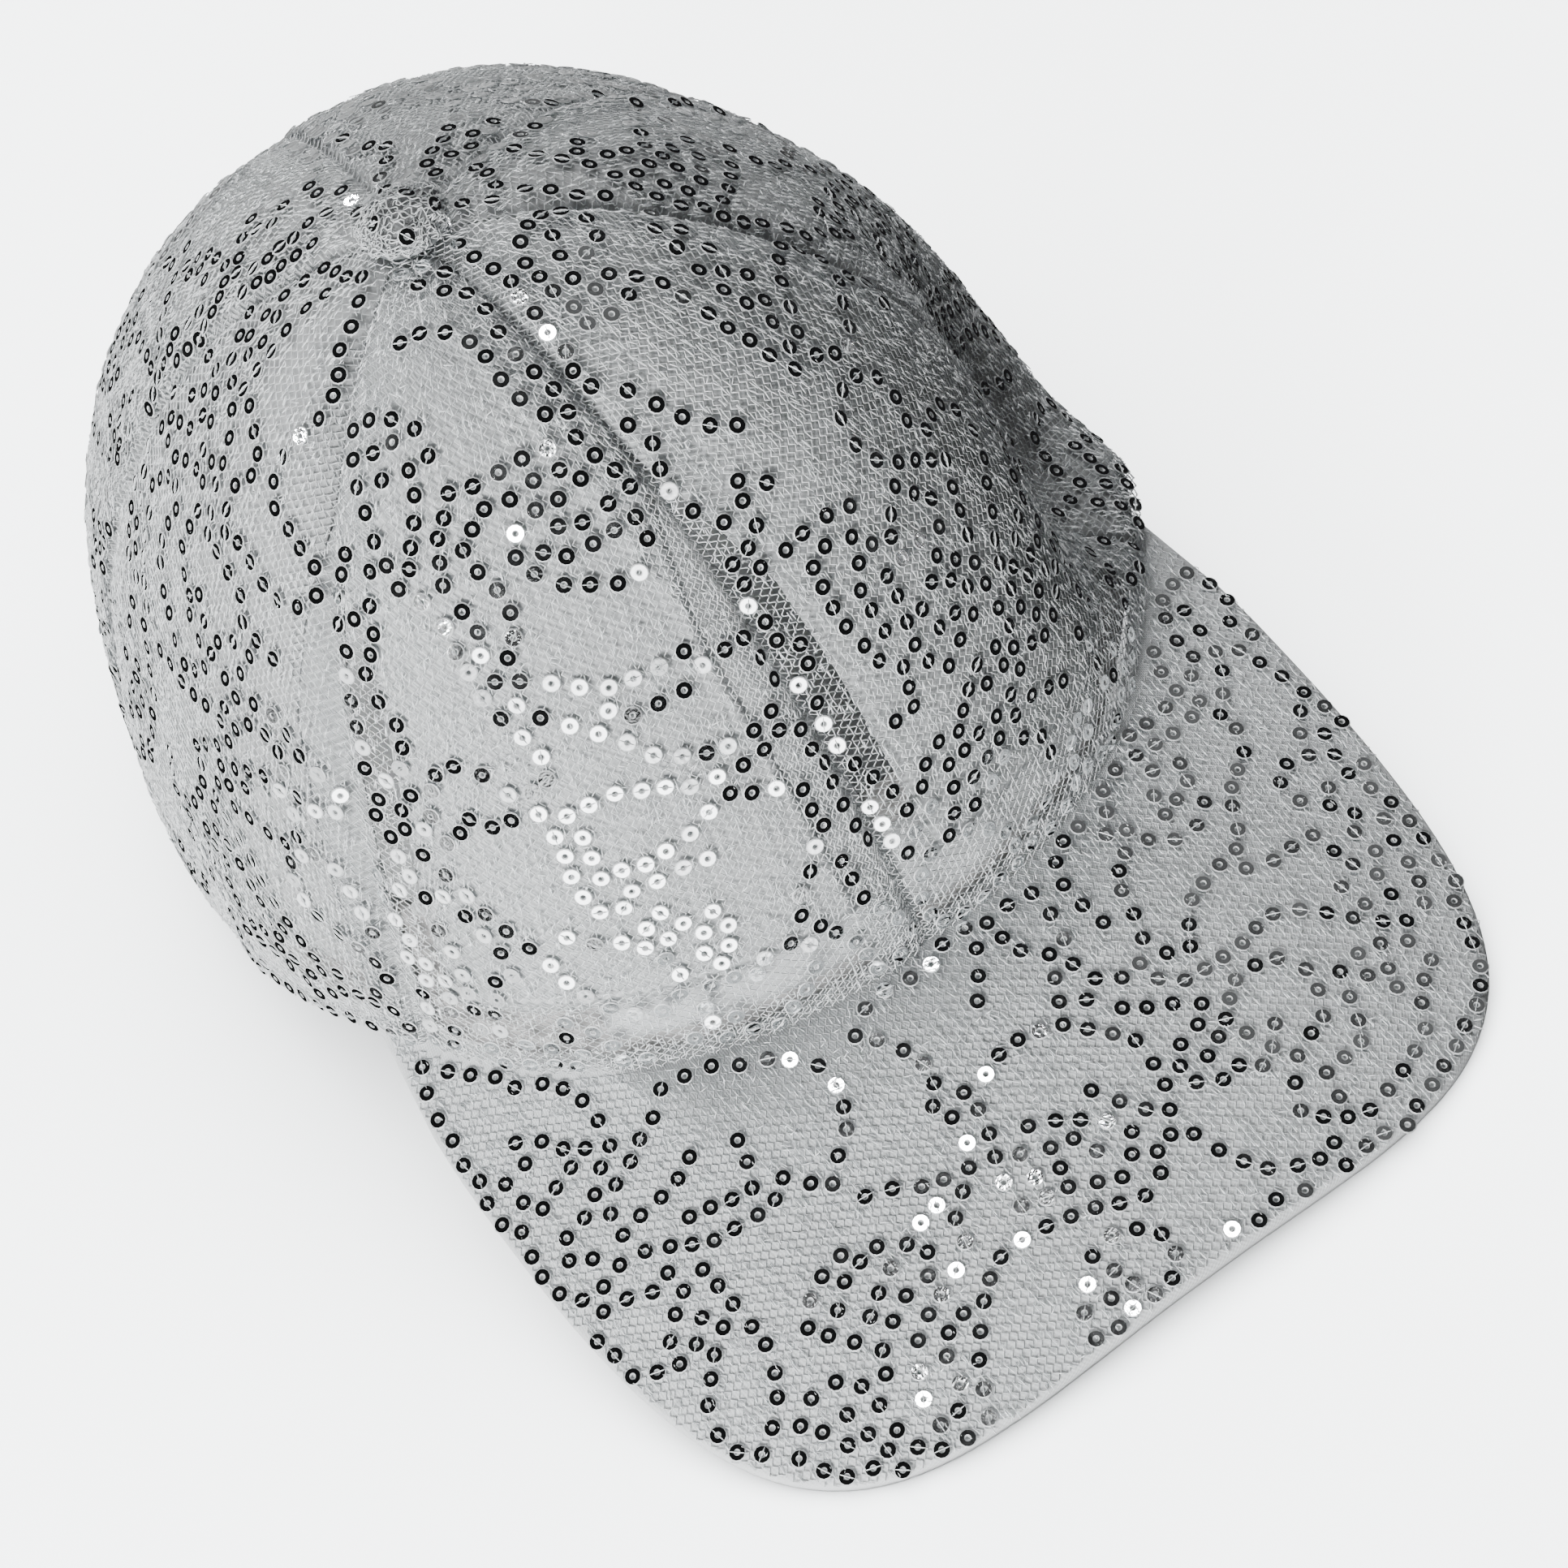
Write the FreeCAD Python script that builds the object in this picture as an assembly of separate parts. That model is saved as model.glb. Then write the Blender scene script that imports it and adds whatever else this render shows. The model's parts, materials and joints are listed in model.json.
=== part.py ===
import FreeCAD, Part
import math
import os
from FreeCAD import Vector

# A six-panel cap with a curved brim, resting on a table on its back hem and on the two front
# corners of its brim.  Millimetres.  +Z is up and the brim points towards -Y.  Angles around
# the crown are measured from the middle of the front (0) towards +X, the wearer's left.

# ---------------------------------------------------------------- driving dimensions
half_width = 80.0          # crown base, middle to side
front_depth = 86.0         # crown base, middle to front
back_depth = 110.0         # crown base, middle to back
base_roundness = 2.2       # exponent of the base oval, 2 is an ellipse
crown_height = 132.0       # table to the top of the crown
crown_top_x = -8.6         # the soft crown leans a little to the wearer's right
crown_top_y = -7.0
front_round, front_rise = 0.81, 1.30    # exponents of the front profile: width, height
back_round, back_rise = 1.20, 0.86      # exponents of the back profile

dent_depth = 11.0          # soft hollow in the wearer's left side, behind the front panel
dent_angle, dent_spread = 66.0, 17.0    # degrees around the crown
dent_level, dent_reach = 0.47, 0.22     # as fractions of the crown's height

front_seam, back_seam = 55.0, 118.0     # seam angles on each side of the front seam
net_thick = 1.0
backing_depth, backing_thick = 1.1, 0.7
backing_side, backing_hem = 7.0, 14.0   # the backing stops this far from seams and hem
tape_depth, tape_thick, tape_width = 1.9, 0.6, 9.0
tape_shift = -3.5          # seam allowances and their tape lie to one side of the seam
pad_depth, pad_thick = 2.7, 0.8
sweat_depth, sweat_thick, sweat_height = 3.6, 1.0, 29.0
seam_gap = 0.15            # half of the gap between two panels

brim_half_width = 76.6
brim_length = 64.5         # from the crown's front to the brim's front edge
brim_corner = 4.2          # exponent of the brim's outline
brim_flare = 0.03          # how much wider the brim is 100 mm in front of its ends
brim_ease = 14.0           # length over which its sides run in to meet the crown
brim_slope = 0.30          # fall per millimetre towards the front
brim_arch, brim_arch_at = 13.1, 85.0    # fall at that distance from the middle
brim_front_top = 25.6      # height of the brim's upper face at the crown's front
brim_end_angle = 61.5      # where the brim meets the crown
brim_flange = 2.4          # how far the brim reaches in under the panels
cover_thick, core_thick, cover_turn = 0.8, 1.6, 1.5
hem_drop, hem_curve = 4.5, 1.2          # how the side hem falls to the table at the back

opening_half_width, opening_side, opening_top = 44.0, 26.0, 54.0
binding_width = 6.0
tab_low, tab_high, tab_thick = 2.0, 24.0, 1.2
tab_depth = 1.4            # tabs lie behind the panels
patch_thick, patch_gap = 0.7, 0.3       # hook and loop patches, and the gap between them
hinge_angle = 23.5         # tab roots, measured from the middle of the back
tab_reach = 15.0           # how far each tab passes the middle, in degrees
tab_root_length = 8.0      # degrees of tab sewn behind a panel
hinge_clear = 0.62         # degrees between a tab and its hinge line

button_radius, button_height = 6.2, 4.2
button_cover_thick, button_clear = 0.6, 0.1
post_radius, washer_radius, washer_thick = 1.6, 6.0, 0.7
panel_top = 0.05           # panels stop at this fraction of their radius, round the button
inner_top = 0.15           # inner layers stop further out
washer_drop = 0.8          # the washer's seat under the panels' top edges

origin_y = (front_depth + brim_length - back_depth) / 2    # puts the origin mid-length
side_columns, side_rows = 13, 17


# ---------------------------------------------------------------- the crown's surface
def soft_min(a, b, blend):
    low = min(a, b)
    return low - blend * math.log(math.exp((low - a) / blend) + math.exp((low - b) / blend))


def base_point(angle):
    """A point of the crown's base oval."""
    s, c = math.sin(angle), math.cos(angle)
    depth = front_depth if c > 0 else back_depth
    n = base_roundness
    radius = ((abs(s) / half_width) ** n + (abs(c) / depth) ** n) ** (-1 / n)
    return radius * s, -radius * c


def brim_level(x, y):
    """Height of the brim's upper face."""
    return brim_front_top - brim_slope * (-front_depth - y) - brim_arch * (x / brim_arch_at) ** 2


end_x, end_y = base_point(math.radians(brim_end_angle))
end_level = brim_level(end_x, end_y)


def hem_level(angle):
    """Height of the panels' lower edge: on the brim in front, falling to the table behind."""
    x, y = base_point(angle)
    along = (back_depth - y) / (back_depth - end_y)
    side = (end_level + hem_drop) * max(along, 0.0) ** hem_curve - hem_drop
    return soft_min(brim_level(x, y), side, 2.0)


def profile(angle):
    front = (1 + math.cos(angle)) / 2
    return (front_round * front + back_round * (1 - front),
            front_rise * front + back_rise * (1 - front))


def crown_point(angle, rise):
    """A point of the crown's outer face; rise runs from 0 at the hem to 90 degrees on top."""
    width_power, height_power = profile(angle)
    x, y = base_point(angle)
    hem = hem_level(angle)
    r = max(math.cos(rise), 0.0) ** width_power
    level = max(math.sin(rise), 0.0) ** height_power
    z = hem + (crown_height - hem) * level
    turn = (math.degrees(angle) - dent_angle + 180) % 360 - 180
    dent = dent_depth * math.exp(-(turn / dent_spread) ** 2
                                 - ((z / crown_height - dent_level) / dent_reach) ** 2)
    shrink = dent / math.hypot(x, y)
    return Vector(crown_top_x * (1 - r) + x * (r - shrink),
                  crown_top_y * (1 - r) + y * (r - shrink) + origin_y, z)


def layer_point(angle, rise, depth):
    """A point under the crown's outer face, at a depth measured square to it."""
    step = 0.01
    low, high = max(rise - step, 0.002), rise + step
    across = crown_point(angle + step, rise) - crown_point(angle - step, rise)
    up = crown_point(angle, high) - crown_point(angle, low)
    outward = across.cross(up).normalize()
    return crown_point(angle, rise) - outward * depth


def rise_at_level(angle, z):
    hem = hem_level(angle)
    part = min(max((z - hem) / (crown_height - hem), 0.0), 1.0)
    return math.asin(part ** (1 / profile(angle)[1]))


def rise_at_radius(angle, fraction):
    return math.acos(fraction ** (1 / profile(angle)[0]))


# ---------------------------------------------------------------- solids
def skin(place, depth, columns, rows):
    grid = [[place(i / (columns - 1), j / (rows - 1), depth) for j in range(rows)]
            for i in range(columns)]
    surface = Part.BSplineSurface()
    surface.interpolate(grid)
    return surface


def layer_solid(place, outer, inner, columns, rows):
    """A closed solid between two skins of one surface; place(u, v, depth) gives its points."""
    skins = [skin(place, outer, columns, rows), skin(place, inner, columns, rows)]
    faces = [s.toShape() for s in skins]
    u0, u1, v0, v1 = skins[0].bounds()
    p0, p1, q0, q1 = skins[1].bounds()
    for own, other in ((u0, p0), (u1, p1)):
        faces.append(Part.makeRuledSurface(skins[0].uIso(own).toShape(),
                                           skins[1].uIso(other).toShape()))
    for own, other in ((v0, q0), (v1, q1)):
        faces.append(Part.makeRuledSurface(skins[0].vIso(own).toShape(),
                                           skins[1].vIso(other).toShape()))
    shell = Part.makeShell(faces)
    shell.sewShape()
    solid = Part.makeSolid(Part.makeShell(shell.Faces))
    if solid.Volume < 0:
        solid.reverse()
    return solid


def crown_layer(start, end, depth, thick, side_inset=0.0, hem_inset=0.0, top=panel_top):
    """A piece of one crown panel, inset from its two seams and from its hem."""
    start, end = math.radians(start), math.radians(end)

    def place(u, v, deep):
        middle = start + (end - start) * u
        low = rise_at_level(middle, hem_level(middle) + hem_inset)
        rise = low + (rise_at_radius(middle, top) - low) * v
        point = crown_point(middle, rise)
        radius = math.hypot(point.x - crown_top_x, point.y - crown_top_y - origin_y)
        inset = side_inset / radius
        return layer_point(start + inset + (end - start - 2 * inset) * u, rise, deep)

    return layer_solid(place, depth, depth + thick, side_columns, side_rows)


def seam_strip(seam, depth, thick, low_level, top):
    """A tape beside one seam, from a level above the table to the top of the crown."""
    seam = math.radians(seam)

    def place(u, v, deep):
        low = rise_at_level(seam, low_level)
        rise = low + (rise_at_radius(seam, top) - low) * v
        point = crown_point(seam, rise)
        radius = math.hypot(point.x - crown_top_x, point.y - crown_top_y - origin_y)
        across = tape_shift + (u - 0.5) * tape_width
        return layer_point(seam + across / radius, rise, deep)

    return layer_solid(place, depth, depth + thick, 3, side_rows)


def band(start, end, low, high, depth_at, thick, columns):
    """A strip along the hem between two levels; low, high and depth_at take an angle."""
    start, end = math.radians(start), math.radians(end)

    def place(u, v, deep):
        angle = start + (end - start) * u
        z = low(angle) + (high(angle) - low(angle)) * v
        return layer_point(angle, rise_at_level(angle, z), depth_at(angle) + deep)

    return layer_solid(place, 0.0, thick, columns, 5)


def above_table(solid):
    room = Part.makeBox(400, 400, 200, Vector(-200, -200, 0))
    return solid.common(room)


def arch_prism(grow):
    """The back opening's outline, grown all round, as a prism through the back wall."""
    half, side = opening_half_width + grow, opening_side
    rise = opening_top + grow - side
    back = back_depth + origin_y + 20
    arc = Part.Ellipse(Vector(0, 0, 0), half, rise).toShape(0, math.pi)
    arc.Placement = FreeCAD.Placement(Vector(0, back, side),
                                      FreeCAD.Rotation(Vector(1, 0, 0), 90))
    corners = [Vector(half, back, side), Vector(half, back, -10),
               Vector(-half, back, -10), Vector(-half, back, side)]
    sides = [Part.makeLine(a, b) for a, b in zip(corners, corners[1:])]
    outline = Part.Wire(Part.__sortEdges__([arc] + sides))
    return Part.Face(outline).extrude(Vector(0, -90, 0))


# ---------------------------------------------------------------- the brim
def brim_outline(inset):
    """The brim's plan, inset from its outer edge and reaching in under the panels."""
    half, nose = brim_half_width - inset, -front_depth - brim_length + inset
    outer = []
    turns = 32
    for i in range(turns + 1):
        a = math.pi * (i / turns - 0.5)
        x = half * math.copysign(abs(math.sin(a)) ** (2 / brim_corner), a)
        y = end_y - (end_y - nose) * abs(math.cos(a)) ** (2 / brim_corner)
        forward = end_y - y
        tuck = (1 - end_x / brim_half_width) * math.exp(-(forward / brim_ease) ** 2)
        x *= 1 + brim_flare * forward / 100 - tuck
        outer.append(Vector(x, y + origin_y, 0))
    inner = []
    stations = 24
    for i in range(stations + 1):
        a = math.radians(brim_end_angle) * (1 - 2 * i / stations)
        x, y = base_point(a)
        length = math.hypot(x, y)
        keep = 1 - brim_flange / length
        inner.append(Vector(x * keep, y * keep + origin_y, 0))
    curves = []
    for points in (outer, inner):
        curve = Part.BSplineCurve()
        curve.interpolate(points)
        curves.append(curve.toShape())
    ends = [Part.makeLine(outer[-1], inner[0]), Part.makeLine(inner[-1], outer[0])]
    wire = Part.Wire(Part.__sortEdges__(curves + ends))
    return Part.Face(wire).extrude(Vector(0, 0, 90))


def brim_slab(upper, lower):
    """A layer of the brim between two depths under its upper face, wider than its plan."""
    reach = 100.0
    start_y = -front_depth - brim_length - 20
    run = 160.0
    drop = brim_arch * (reach / brim_arch_at) ** 2
    edges = []
    ends = []
    for depth in (upper, lower):
        z = brim_level(0, start_y) - depth
        pole = Vector(0, start_y + origin_y, z + drop)
        left = Vector(-reach, start_y + origin_y, z - drop)
        right = Vector(reach, start_y + origin_y, z - drop)
        curve = Part.BezierCurve()
        curve.setPoles([left, pole, right])
        edges.append(curve.toShape())
        ends.append((left, right))
    edges += [Part.makeLine(ends[0][i], ends[1][i]) for i in (0, 1)]
    face = Part.Face(Part.Wire(Part.__sortEdges__(edges)))
    return face.extrude(Vector(0, run, run * brim_slope))


# ---------------------------------------------------------------- pieces
pieces = {}
whole_thick = 2 * cover_thick + core_thick
full_plan, core_plan = brim_outline(0), brim_outline(cover_turn)
core = core_plan.common(brim_slab(cover_thick, cover_thick + core_thick))
upper = full_plan.common(brim_slab(0, cover_thick + core_thick)).cut(core)
lower = full_plan.common(brim_slab(cover_thick + core_thick, whole_thick))
brim_block = full_plan.common(brim_slab(-0.05, whole_thick))
pieces["brim_core"] = above_table(core)
pieces["brim_cover_top"] = above_table(upper)
pieces["brim_cover_bottom"] = above_table(lower)


def trimmed(solid):
    return above_table(solid).cut(brim_block)


opening = arch_prism(0)
spans = {"front_left": (0, front_seam), "side_left": (front_seam, back_seam),
         "back_left": (back_seam, 180), "back_right": (180, 360 - back_seam),
         "side_right": (360 - back_seam, 360 - front_seam),
         "front_right": (360 - front_seam, 360)}
for name, (start, end) in spans.items():
    panel = trimmed(crown_layer(start, end, 0, net_thick, side_inset=seam_gap))
    kind = "buckram_" if name.startswith("front") else "lining_"
    backing_low = tab_high + 3.0 if name.startswith("back") else backing_hem
    backing = trimmed(crown_layer(start, end, backing_depth, backing_thick,
                                  backing_side, backing_low, inner_top))
    if name.startswith("back"):
        panel = panel.cut(opening)
        backing = backing.cut(arch_prism(binding_width + 1.0))
    pieces["panel_" + name] = panel
    pieces[kind + name] = backing

tape_seams = {"front": 0, "front_left": front_seam, "back_left": back_seam, "back": 180,
              "back_right": 360 - back_seam, "front_right": 360 - front_seam}
for name, angle in tape_seams.items():
    if name == "back":
        low = opening_top + binding_width + 1.0
    else:
        low = hem_level(math.radians(angle)) + 2.0
    tape = seam_strip(angle, tape_depth, tape_thick, low, inner_top)
    pieces["seam_tape_" + name] = trimmed(tape)


def hem_floor(angle):
    """The hem's level, easing onto the table behind instead of passing below it."""
    return 2.0 * math.log(1 + math.exp(hem_level(angle) / 2.0))


def above_hem(amount):
    return lambda angle: hem_floor(angle) + amount


def level(z):
    return lambda angle: z


sweat_end = 180 - hinge_angle - tab_root_length - 2.0
sweat = band(-sweat_end, sweat_end, above_hem(0.8), above_hem(sweat_height),
             level(sweat_depth), sweat_thick, 49)
pieces["sweatband"] = trimmed(sweat)
pad = band(-34, 34, above_hem(5.0), above_hem(22.0), level(pad_depth), pad_thick, 13)
pieces["sweatband_front_pad"] = trimmed(pad)

ring = arch_prism(binding_width).cut(arch_prism(0))
ring = ring.common(Part.makeBox(200, 200, 100, Vector(-100, 0, tab_high + 2.5)))
back_wall = band(180 - 45, 180 + 45, level(tab_high + 1.0), level(opening_top + 12),
                 level(backing_depth), backing_thick, 19)
pieces["opening_binding"] = back_wall.common(ring)


# ---------------------------------------------------------------- back closure
def smooth(x):
    x = min(max(x, 0.0), 1.0)
    return x * x * (3 - 2 * x)


def outer_depth(angle):
    return tab_depth


inner_drop = tab_thick + 2 * patch_thick + patch_gap + 0.1


def inner_depth(angle):
    """The right-hand tab starts behind its panel and steps in behind the left-hand tab."""
    past = 180 + hinge_angle - math.degrees(angle)
    return tab_depth + inner_drop * smooth(past / (hinge_angle - tab_reach - 1.0))


def rounded_end(solid, reach_angle):
    """Round the two corners of a tab's free end."""
    end = crown_point(math.radians(reach_angle), 0.1)
    corner_edges = []
    for edge in solid.Edges:
        middle = edge.CenterOfMass
        if edge.Length < 2 * tab_thick and abs(middle.x - end.x) < 2.0:
            corner_edges.append(edge)
    return solid.makeFillet(6.0, corner_edges)


def tab(start, end, depth_at, low, high, thick):
    return band(start, end, level(low), level(high), depth_at, thick, 9)


left_hinge, right_hinge = 180 - hinge_angle, 180 + hinge_angle
left_end, right_end = 180 + tab_reach, 180 - tab_reach
outer = tab(left_hinge + hinge_clear, left_end, outer_depth, tab_low, tab_high, tab_thick)
inner = tab(right_end, right_hinge - hinge_clear, inner_depth, tab_low, tab_high, tab_thick)
pieces["outer_tab"] = rounded_end(outer, left_end)
pieces["inner_tab"] = rounded_end(inner, right_end)
patch_low, patch_high = tab_low + 3.0, tab_high - 3.0
hook_depth = tab_depth + tab_thick + 0.05
loop_depth = tab_depth + inner_drop - patch_thick - 0.05
pieces["hook_patch"] = tab(right_end + 4, left_end - 3, level(hook_depth), patch_low,
                           patch_high, patch_thick)
pieces["loop_patch"] = tab(right_end + 3, left_end - 1, level(loop_depth), patch_low,
                           patch_high, patch_thick)
pieces["outer_tab_root"] = tab(left_hinge - tab_root_length, left_hinge - hinge_clear,
                               outer_depth, tab_low, tab_high, tab_thick)
pieces["inner_tab_root"] = tab(right_hinge + hinge_clear, right_hinge + tab_root_length,
                               outer_depth, tab_low, tab_high, tab_thick)


# ---------------------------------------------------------------- button
def dome(radius, height, z):
    """A button-shaped solid of revolution: a low upright rim under a spherical cap."""
    rim_height = 0.3 * height
    cap = height - rim_height
    sphere = (radius ** 2 + cap ** 2) / (2 * cap)
    half_turn = math.asin(radius / sphere) / 2
    shoulder = Vector(sphere * math.sin(half_turn), 0,
                      z + height - sphere * (1 - math.cos(half_turn)))
    low, foot = Vector(0, 0, z), Vector(radius, 0, z)
    rim, top = Vector(radius, 0, z + rim_height), Vector(0, 0, z + height)
    wire = Part.Wire([Part.makeLine(low, foot), Part.makeLine(foot, rim),
                      Part.Arc(rim, shoulder, top).toShape(), Part.makeLine(top, low)])
    return Part.Face(wire).revolve(Vector(0, 0, 0), Vector(0, 0, 1), 360)


seat = crown_height + 0.25
centre = Vector(crown_top_x, crown_top_y + origin_y, 0)
washer_seat = crown_height - net_thick - washer_drop
post_low = washer_seat - washer_thick - 0.2
cover = dome(button_radius + button_cover_thick, button_height + button_cover_thick, seat)
hollow = dome(button_radius + button_clear, button_height + button_clear, seat)
shell = dome(button_radius, button_height, seat)
bore = Part.makeCylinder(post_radius + 0.05, 3.0, Vector(0, 0, post_low))
shell_hollow = Part.makeCylinder(button_radius * 0.6, button_height * 0.5, Vector(0, 0, seat))
post = Part.makeCylinder(post_radius, seat + button_height * 0.5 - post_low,
                         Vector(0, 0, post_low))
washer = Part.makeCylinder(washer_radius, washer_thick,
                           Vector(0, 0, washer_seat - washer_thick)).cut(bore)
head = Part.makeCylinder(2 * post_radius, 0.4, Vector(0, 0, post_low - 0.4))
for name, solid in {"button_cover": cover.cut(hollow), "button_shell": shell.cut(shell_hollow),
                    "button_post": post.fuse(head), "button_washer": washer}.items():
    solid.translate(centre)
    pieces[name] = solid

os.makedirs("parts", exist_ok=True)
for name, solid in pieces.items():
    solid.exportStep("parts/" + name + ".step")
    print(name, len(solid.Solids), solid.isValid(), round(solid.Volume, 1), "mm3")
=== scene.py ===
# %% [markdown]
# # A silver sequinned cap
#
# The cap is six panels of knitted net over white backing, a curved brim, a button on top, a
# sweatband inside and a two-tab closure behind.  Thousands of small mirror sequins are sewn to the
# net along wandering lines.  The frame already holds every piece at its size and place, so this
# script only dresses it: cloth, net, yarn, sequins, stitches, light and a camera.

# %% Load the frame
import json
import math

import bpy
import numpy as np
from mathutils import Matrix, Vector

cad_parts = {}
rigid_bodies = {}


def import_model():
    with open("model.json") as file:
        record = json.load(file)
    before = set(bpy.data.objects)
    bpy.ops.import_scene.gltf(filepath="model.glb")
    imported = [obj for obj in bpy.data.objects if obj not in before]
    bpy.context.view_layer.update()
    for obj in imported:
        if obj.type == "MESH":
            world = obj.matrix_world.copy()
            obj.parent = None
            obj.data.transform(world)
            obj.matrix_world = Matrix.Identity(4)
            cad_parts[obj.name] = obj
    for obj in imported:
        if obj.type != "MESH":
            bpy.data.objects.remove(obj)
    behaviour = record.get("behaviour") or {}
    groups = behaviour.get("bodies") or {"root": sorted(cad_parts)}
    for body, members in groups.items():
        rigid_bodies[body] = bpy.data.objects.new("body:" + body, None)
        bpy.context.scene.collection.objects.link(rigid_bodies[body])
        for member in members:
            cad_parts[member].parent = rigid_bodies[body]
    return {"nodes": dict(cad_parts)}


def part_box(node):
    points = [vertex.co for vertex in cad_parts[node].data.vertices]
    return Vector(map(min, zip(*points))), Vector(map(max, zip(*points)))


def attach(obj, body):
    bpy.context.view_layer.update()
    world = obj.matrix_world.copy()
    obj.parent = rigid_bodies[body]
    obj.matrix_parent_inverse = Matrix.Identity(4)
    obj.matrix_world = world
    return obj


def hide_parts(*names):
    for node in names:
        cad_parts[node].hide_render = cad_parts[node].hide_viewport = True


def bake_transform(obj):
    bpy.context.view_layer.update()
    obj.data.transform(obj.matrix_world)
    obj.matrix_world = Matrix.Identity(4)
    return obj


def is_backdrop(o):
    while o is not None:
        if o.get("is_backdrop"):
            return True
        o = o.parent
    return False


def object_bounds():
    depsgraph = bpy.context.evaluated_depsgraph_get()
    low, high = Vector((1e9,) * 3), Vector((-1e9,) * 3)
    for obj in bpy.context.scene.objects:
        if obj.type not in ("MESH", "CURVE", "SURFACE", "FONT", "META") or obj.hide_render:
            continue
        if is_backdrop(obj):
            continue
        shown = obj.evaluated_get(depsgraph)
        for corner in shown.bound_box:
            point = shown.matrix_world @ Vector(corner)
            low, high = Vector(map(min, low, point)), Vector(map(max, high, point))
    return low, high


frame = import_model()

MM = 0.001
TAU = 2 * math.pi


def plain_box():
    """The whole object's box as plain lists."""
    return [[float(value) for value in corner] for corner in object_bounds()]


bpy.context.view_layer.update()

# %% [markdown]
# ## The shape of the crown
#
# Everything sewn to the crown follows one surface, so that surface is a function.  An angle goes
# round the head from the middle of the front towards the wearer's left, and a rise goes from 0 at
# the hem to a right angle at the button.  The numbers are the same driving sizes as the frame's,
# in millimetres.  A function beats a sculpted mesh here because net, sequins, tapes and linings
# can all ask it for points at any depth.

# %% Driving sizes of the crown and brim, in millimetres
HALF_WIDTH, FRONT, BACK, ROUNDNESS = 80.0, 86.0, 110.0, 2.2
HEIGHT, LEAN_X, LEAN_Y = 132.0, -8.6, -7.0
FRONT_ROUND, FRONT_RISE, BACK_ROUND, BACK_RISE = 0.81, 1.30, 1.20, 0.86
DENT, DENT_ANGLE, DENT_SPREAD, DENT_LEVEL, DENT_REACH = 11.0, 66.0, 17.0, 0.47, 0.22
FRONT_SEAM, BACK_SEAM = 55.0, 118.0
BRIM_HALF, BRIM_LENGTH, BRIM_CORNER, BRIM_FLARE, BRIM_EASE = 76.6, 64.5, 4.2, 0.03, 14.0
BRIM_SLOPE, BRIM_ARCH, BRIM_ARCH_AT, BRIM_TOP, BRIM_END = 0.30, 13.1, 85.0, 25.6, 61.5
BRIM_FLANGE = 2.4
HEM_DROP, HEM_CURVE = 4.5, 1.2
OPENING_HALF, OPENING_SIDE, OPENING_TOP = 44.0, 26.0, 54.0
MIDDLE_Y = (FRONT + BRIM_LENGTH - BACK) / 2
SEAMS = (0.0, FRONT_SEAM, BACK_SEAM, 180.0, 360 - BACK_SEAM, 360 - FRONT_SEAM)
print("crown", 2 * HALF_WIDTH, "by", FRONT + BACK, "mm;", len(SEAMS), "seams")


# %% The crown's own surface
def base_point(angle):
    """Points of the oval where the crown meets the head."""
    s, c = np.sin(angle), np.cos(angle)
    depth = np.where(c > 0, FRONT, BACK)
    radius = (np.abs(s / HALF_WIDTH) ** ROUNDNESS + np.abs(c / depth) ** ROUNDNESS)
    radius = radius ** (-1 / ROUNDNESS)
    return radius * s, -radius * c


def brim_level(x, y):
    """Height of the brim's upper face over a point, y measured from the crown's middle."""
    return BRIM_TOP - BRIM_SLOPE * (-FRONT - y) - BRIM_ARCH * (x / BRIM_ARCH_AT) ** 2


END_X, END_Y = (float(v) for v in base_point(math.radians(BRIM_END)))
END_LEVEL = brim_level(END_X, END_Y)


HEM_BLEND = 2.0  # how gently the hem passes from the brim's line to the side's


def hem_level(angle):
    """Height of the panels' lower edge."""
    x, y = base_point(angle)
    along = np.maximum((BACK - y) / (BACK - END_Y), 0.0)
    side = (END_LEVEL + HEM_DROP) * along ** HEM_CURVE - HEM_DROP
    front = brim_level(x, y)
    low = np.minimum(front, side)
    return low - HEM_BLEND * np.log(np.exp((low - front) / HEM_BLEND)
                                    + np.exp((low - side) / HEM_BLEND))


def profile(angle):
    """How round the crown is in plan and in rise: one pair in front, another behind."""
    front = (1 + np.cos(angle)) / 2
    return (FRONT_ROUND * front + BACK_ROUND * (1 - front),
            FRONT_RISE * front + BACK_RISE * (1 - front))


def plain_crown(angle, rise):
    """The crown as the frame has it."""
    wide, tall = profile(angle)
    x, y = base_point(angle)
    hem = hem_level(angle)
    r = np.maximum(np.cos(rise), 0.0) ** wide
    z = hem + (HEIGHT - hem) * np.maximum(np.sin(rise), 0.0) ** tall
    turn = (np.degrees(angle) - DENT_ANGLE + 180) % 360 - 180
    dent = DENT * np.exp(-(turn / DENT_SPREAD) ** 2
                         - ((z / HEIGHT - DENT_LEVEL) / DENT_REACH) ** 2)
    shrink = dent / np.hypot(x, y)
    return np.stack([LEAN_X * (1 - r) + x * (r - shrink),
                     LEAN_Y * (1 - r) + y * (r - shrink) + MIDDLE_Y, z + 0 * x], -1)


print("hem at the forehead", round(float(hem_level(0.0)), 1), "mm up")

# %% [markdown]
# ## How the cloth lies
#
# Real panels are never as smooth as their pattern.  Each swells a little between its seams, sinks
# where it is sewn, and lies a fraction higher over the folded seam allowance.  The left side is
# pushed in, with one sharp fold in front of the hollow.  These are added square to the plain
# surface, a millimetre or so at a time, so the cloth stays in the space the frame keeps for it.

# %% Folds, seams and ripples
SWELL, SWELL_REACH = 0.7, 11.0
GROOVE, GROOVE_REACH = 0.9, 1.1
RIDGE, RIDGE_REACH = 0.45, 9.0
LONG_WAVE, SHORT_WAVE = 42.0, 15.0
SWEATBAND_STEP, SWEATBAND_TOP = 0.35, 0.105
SINK = 0.4


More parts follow.
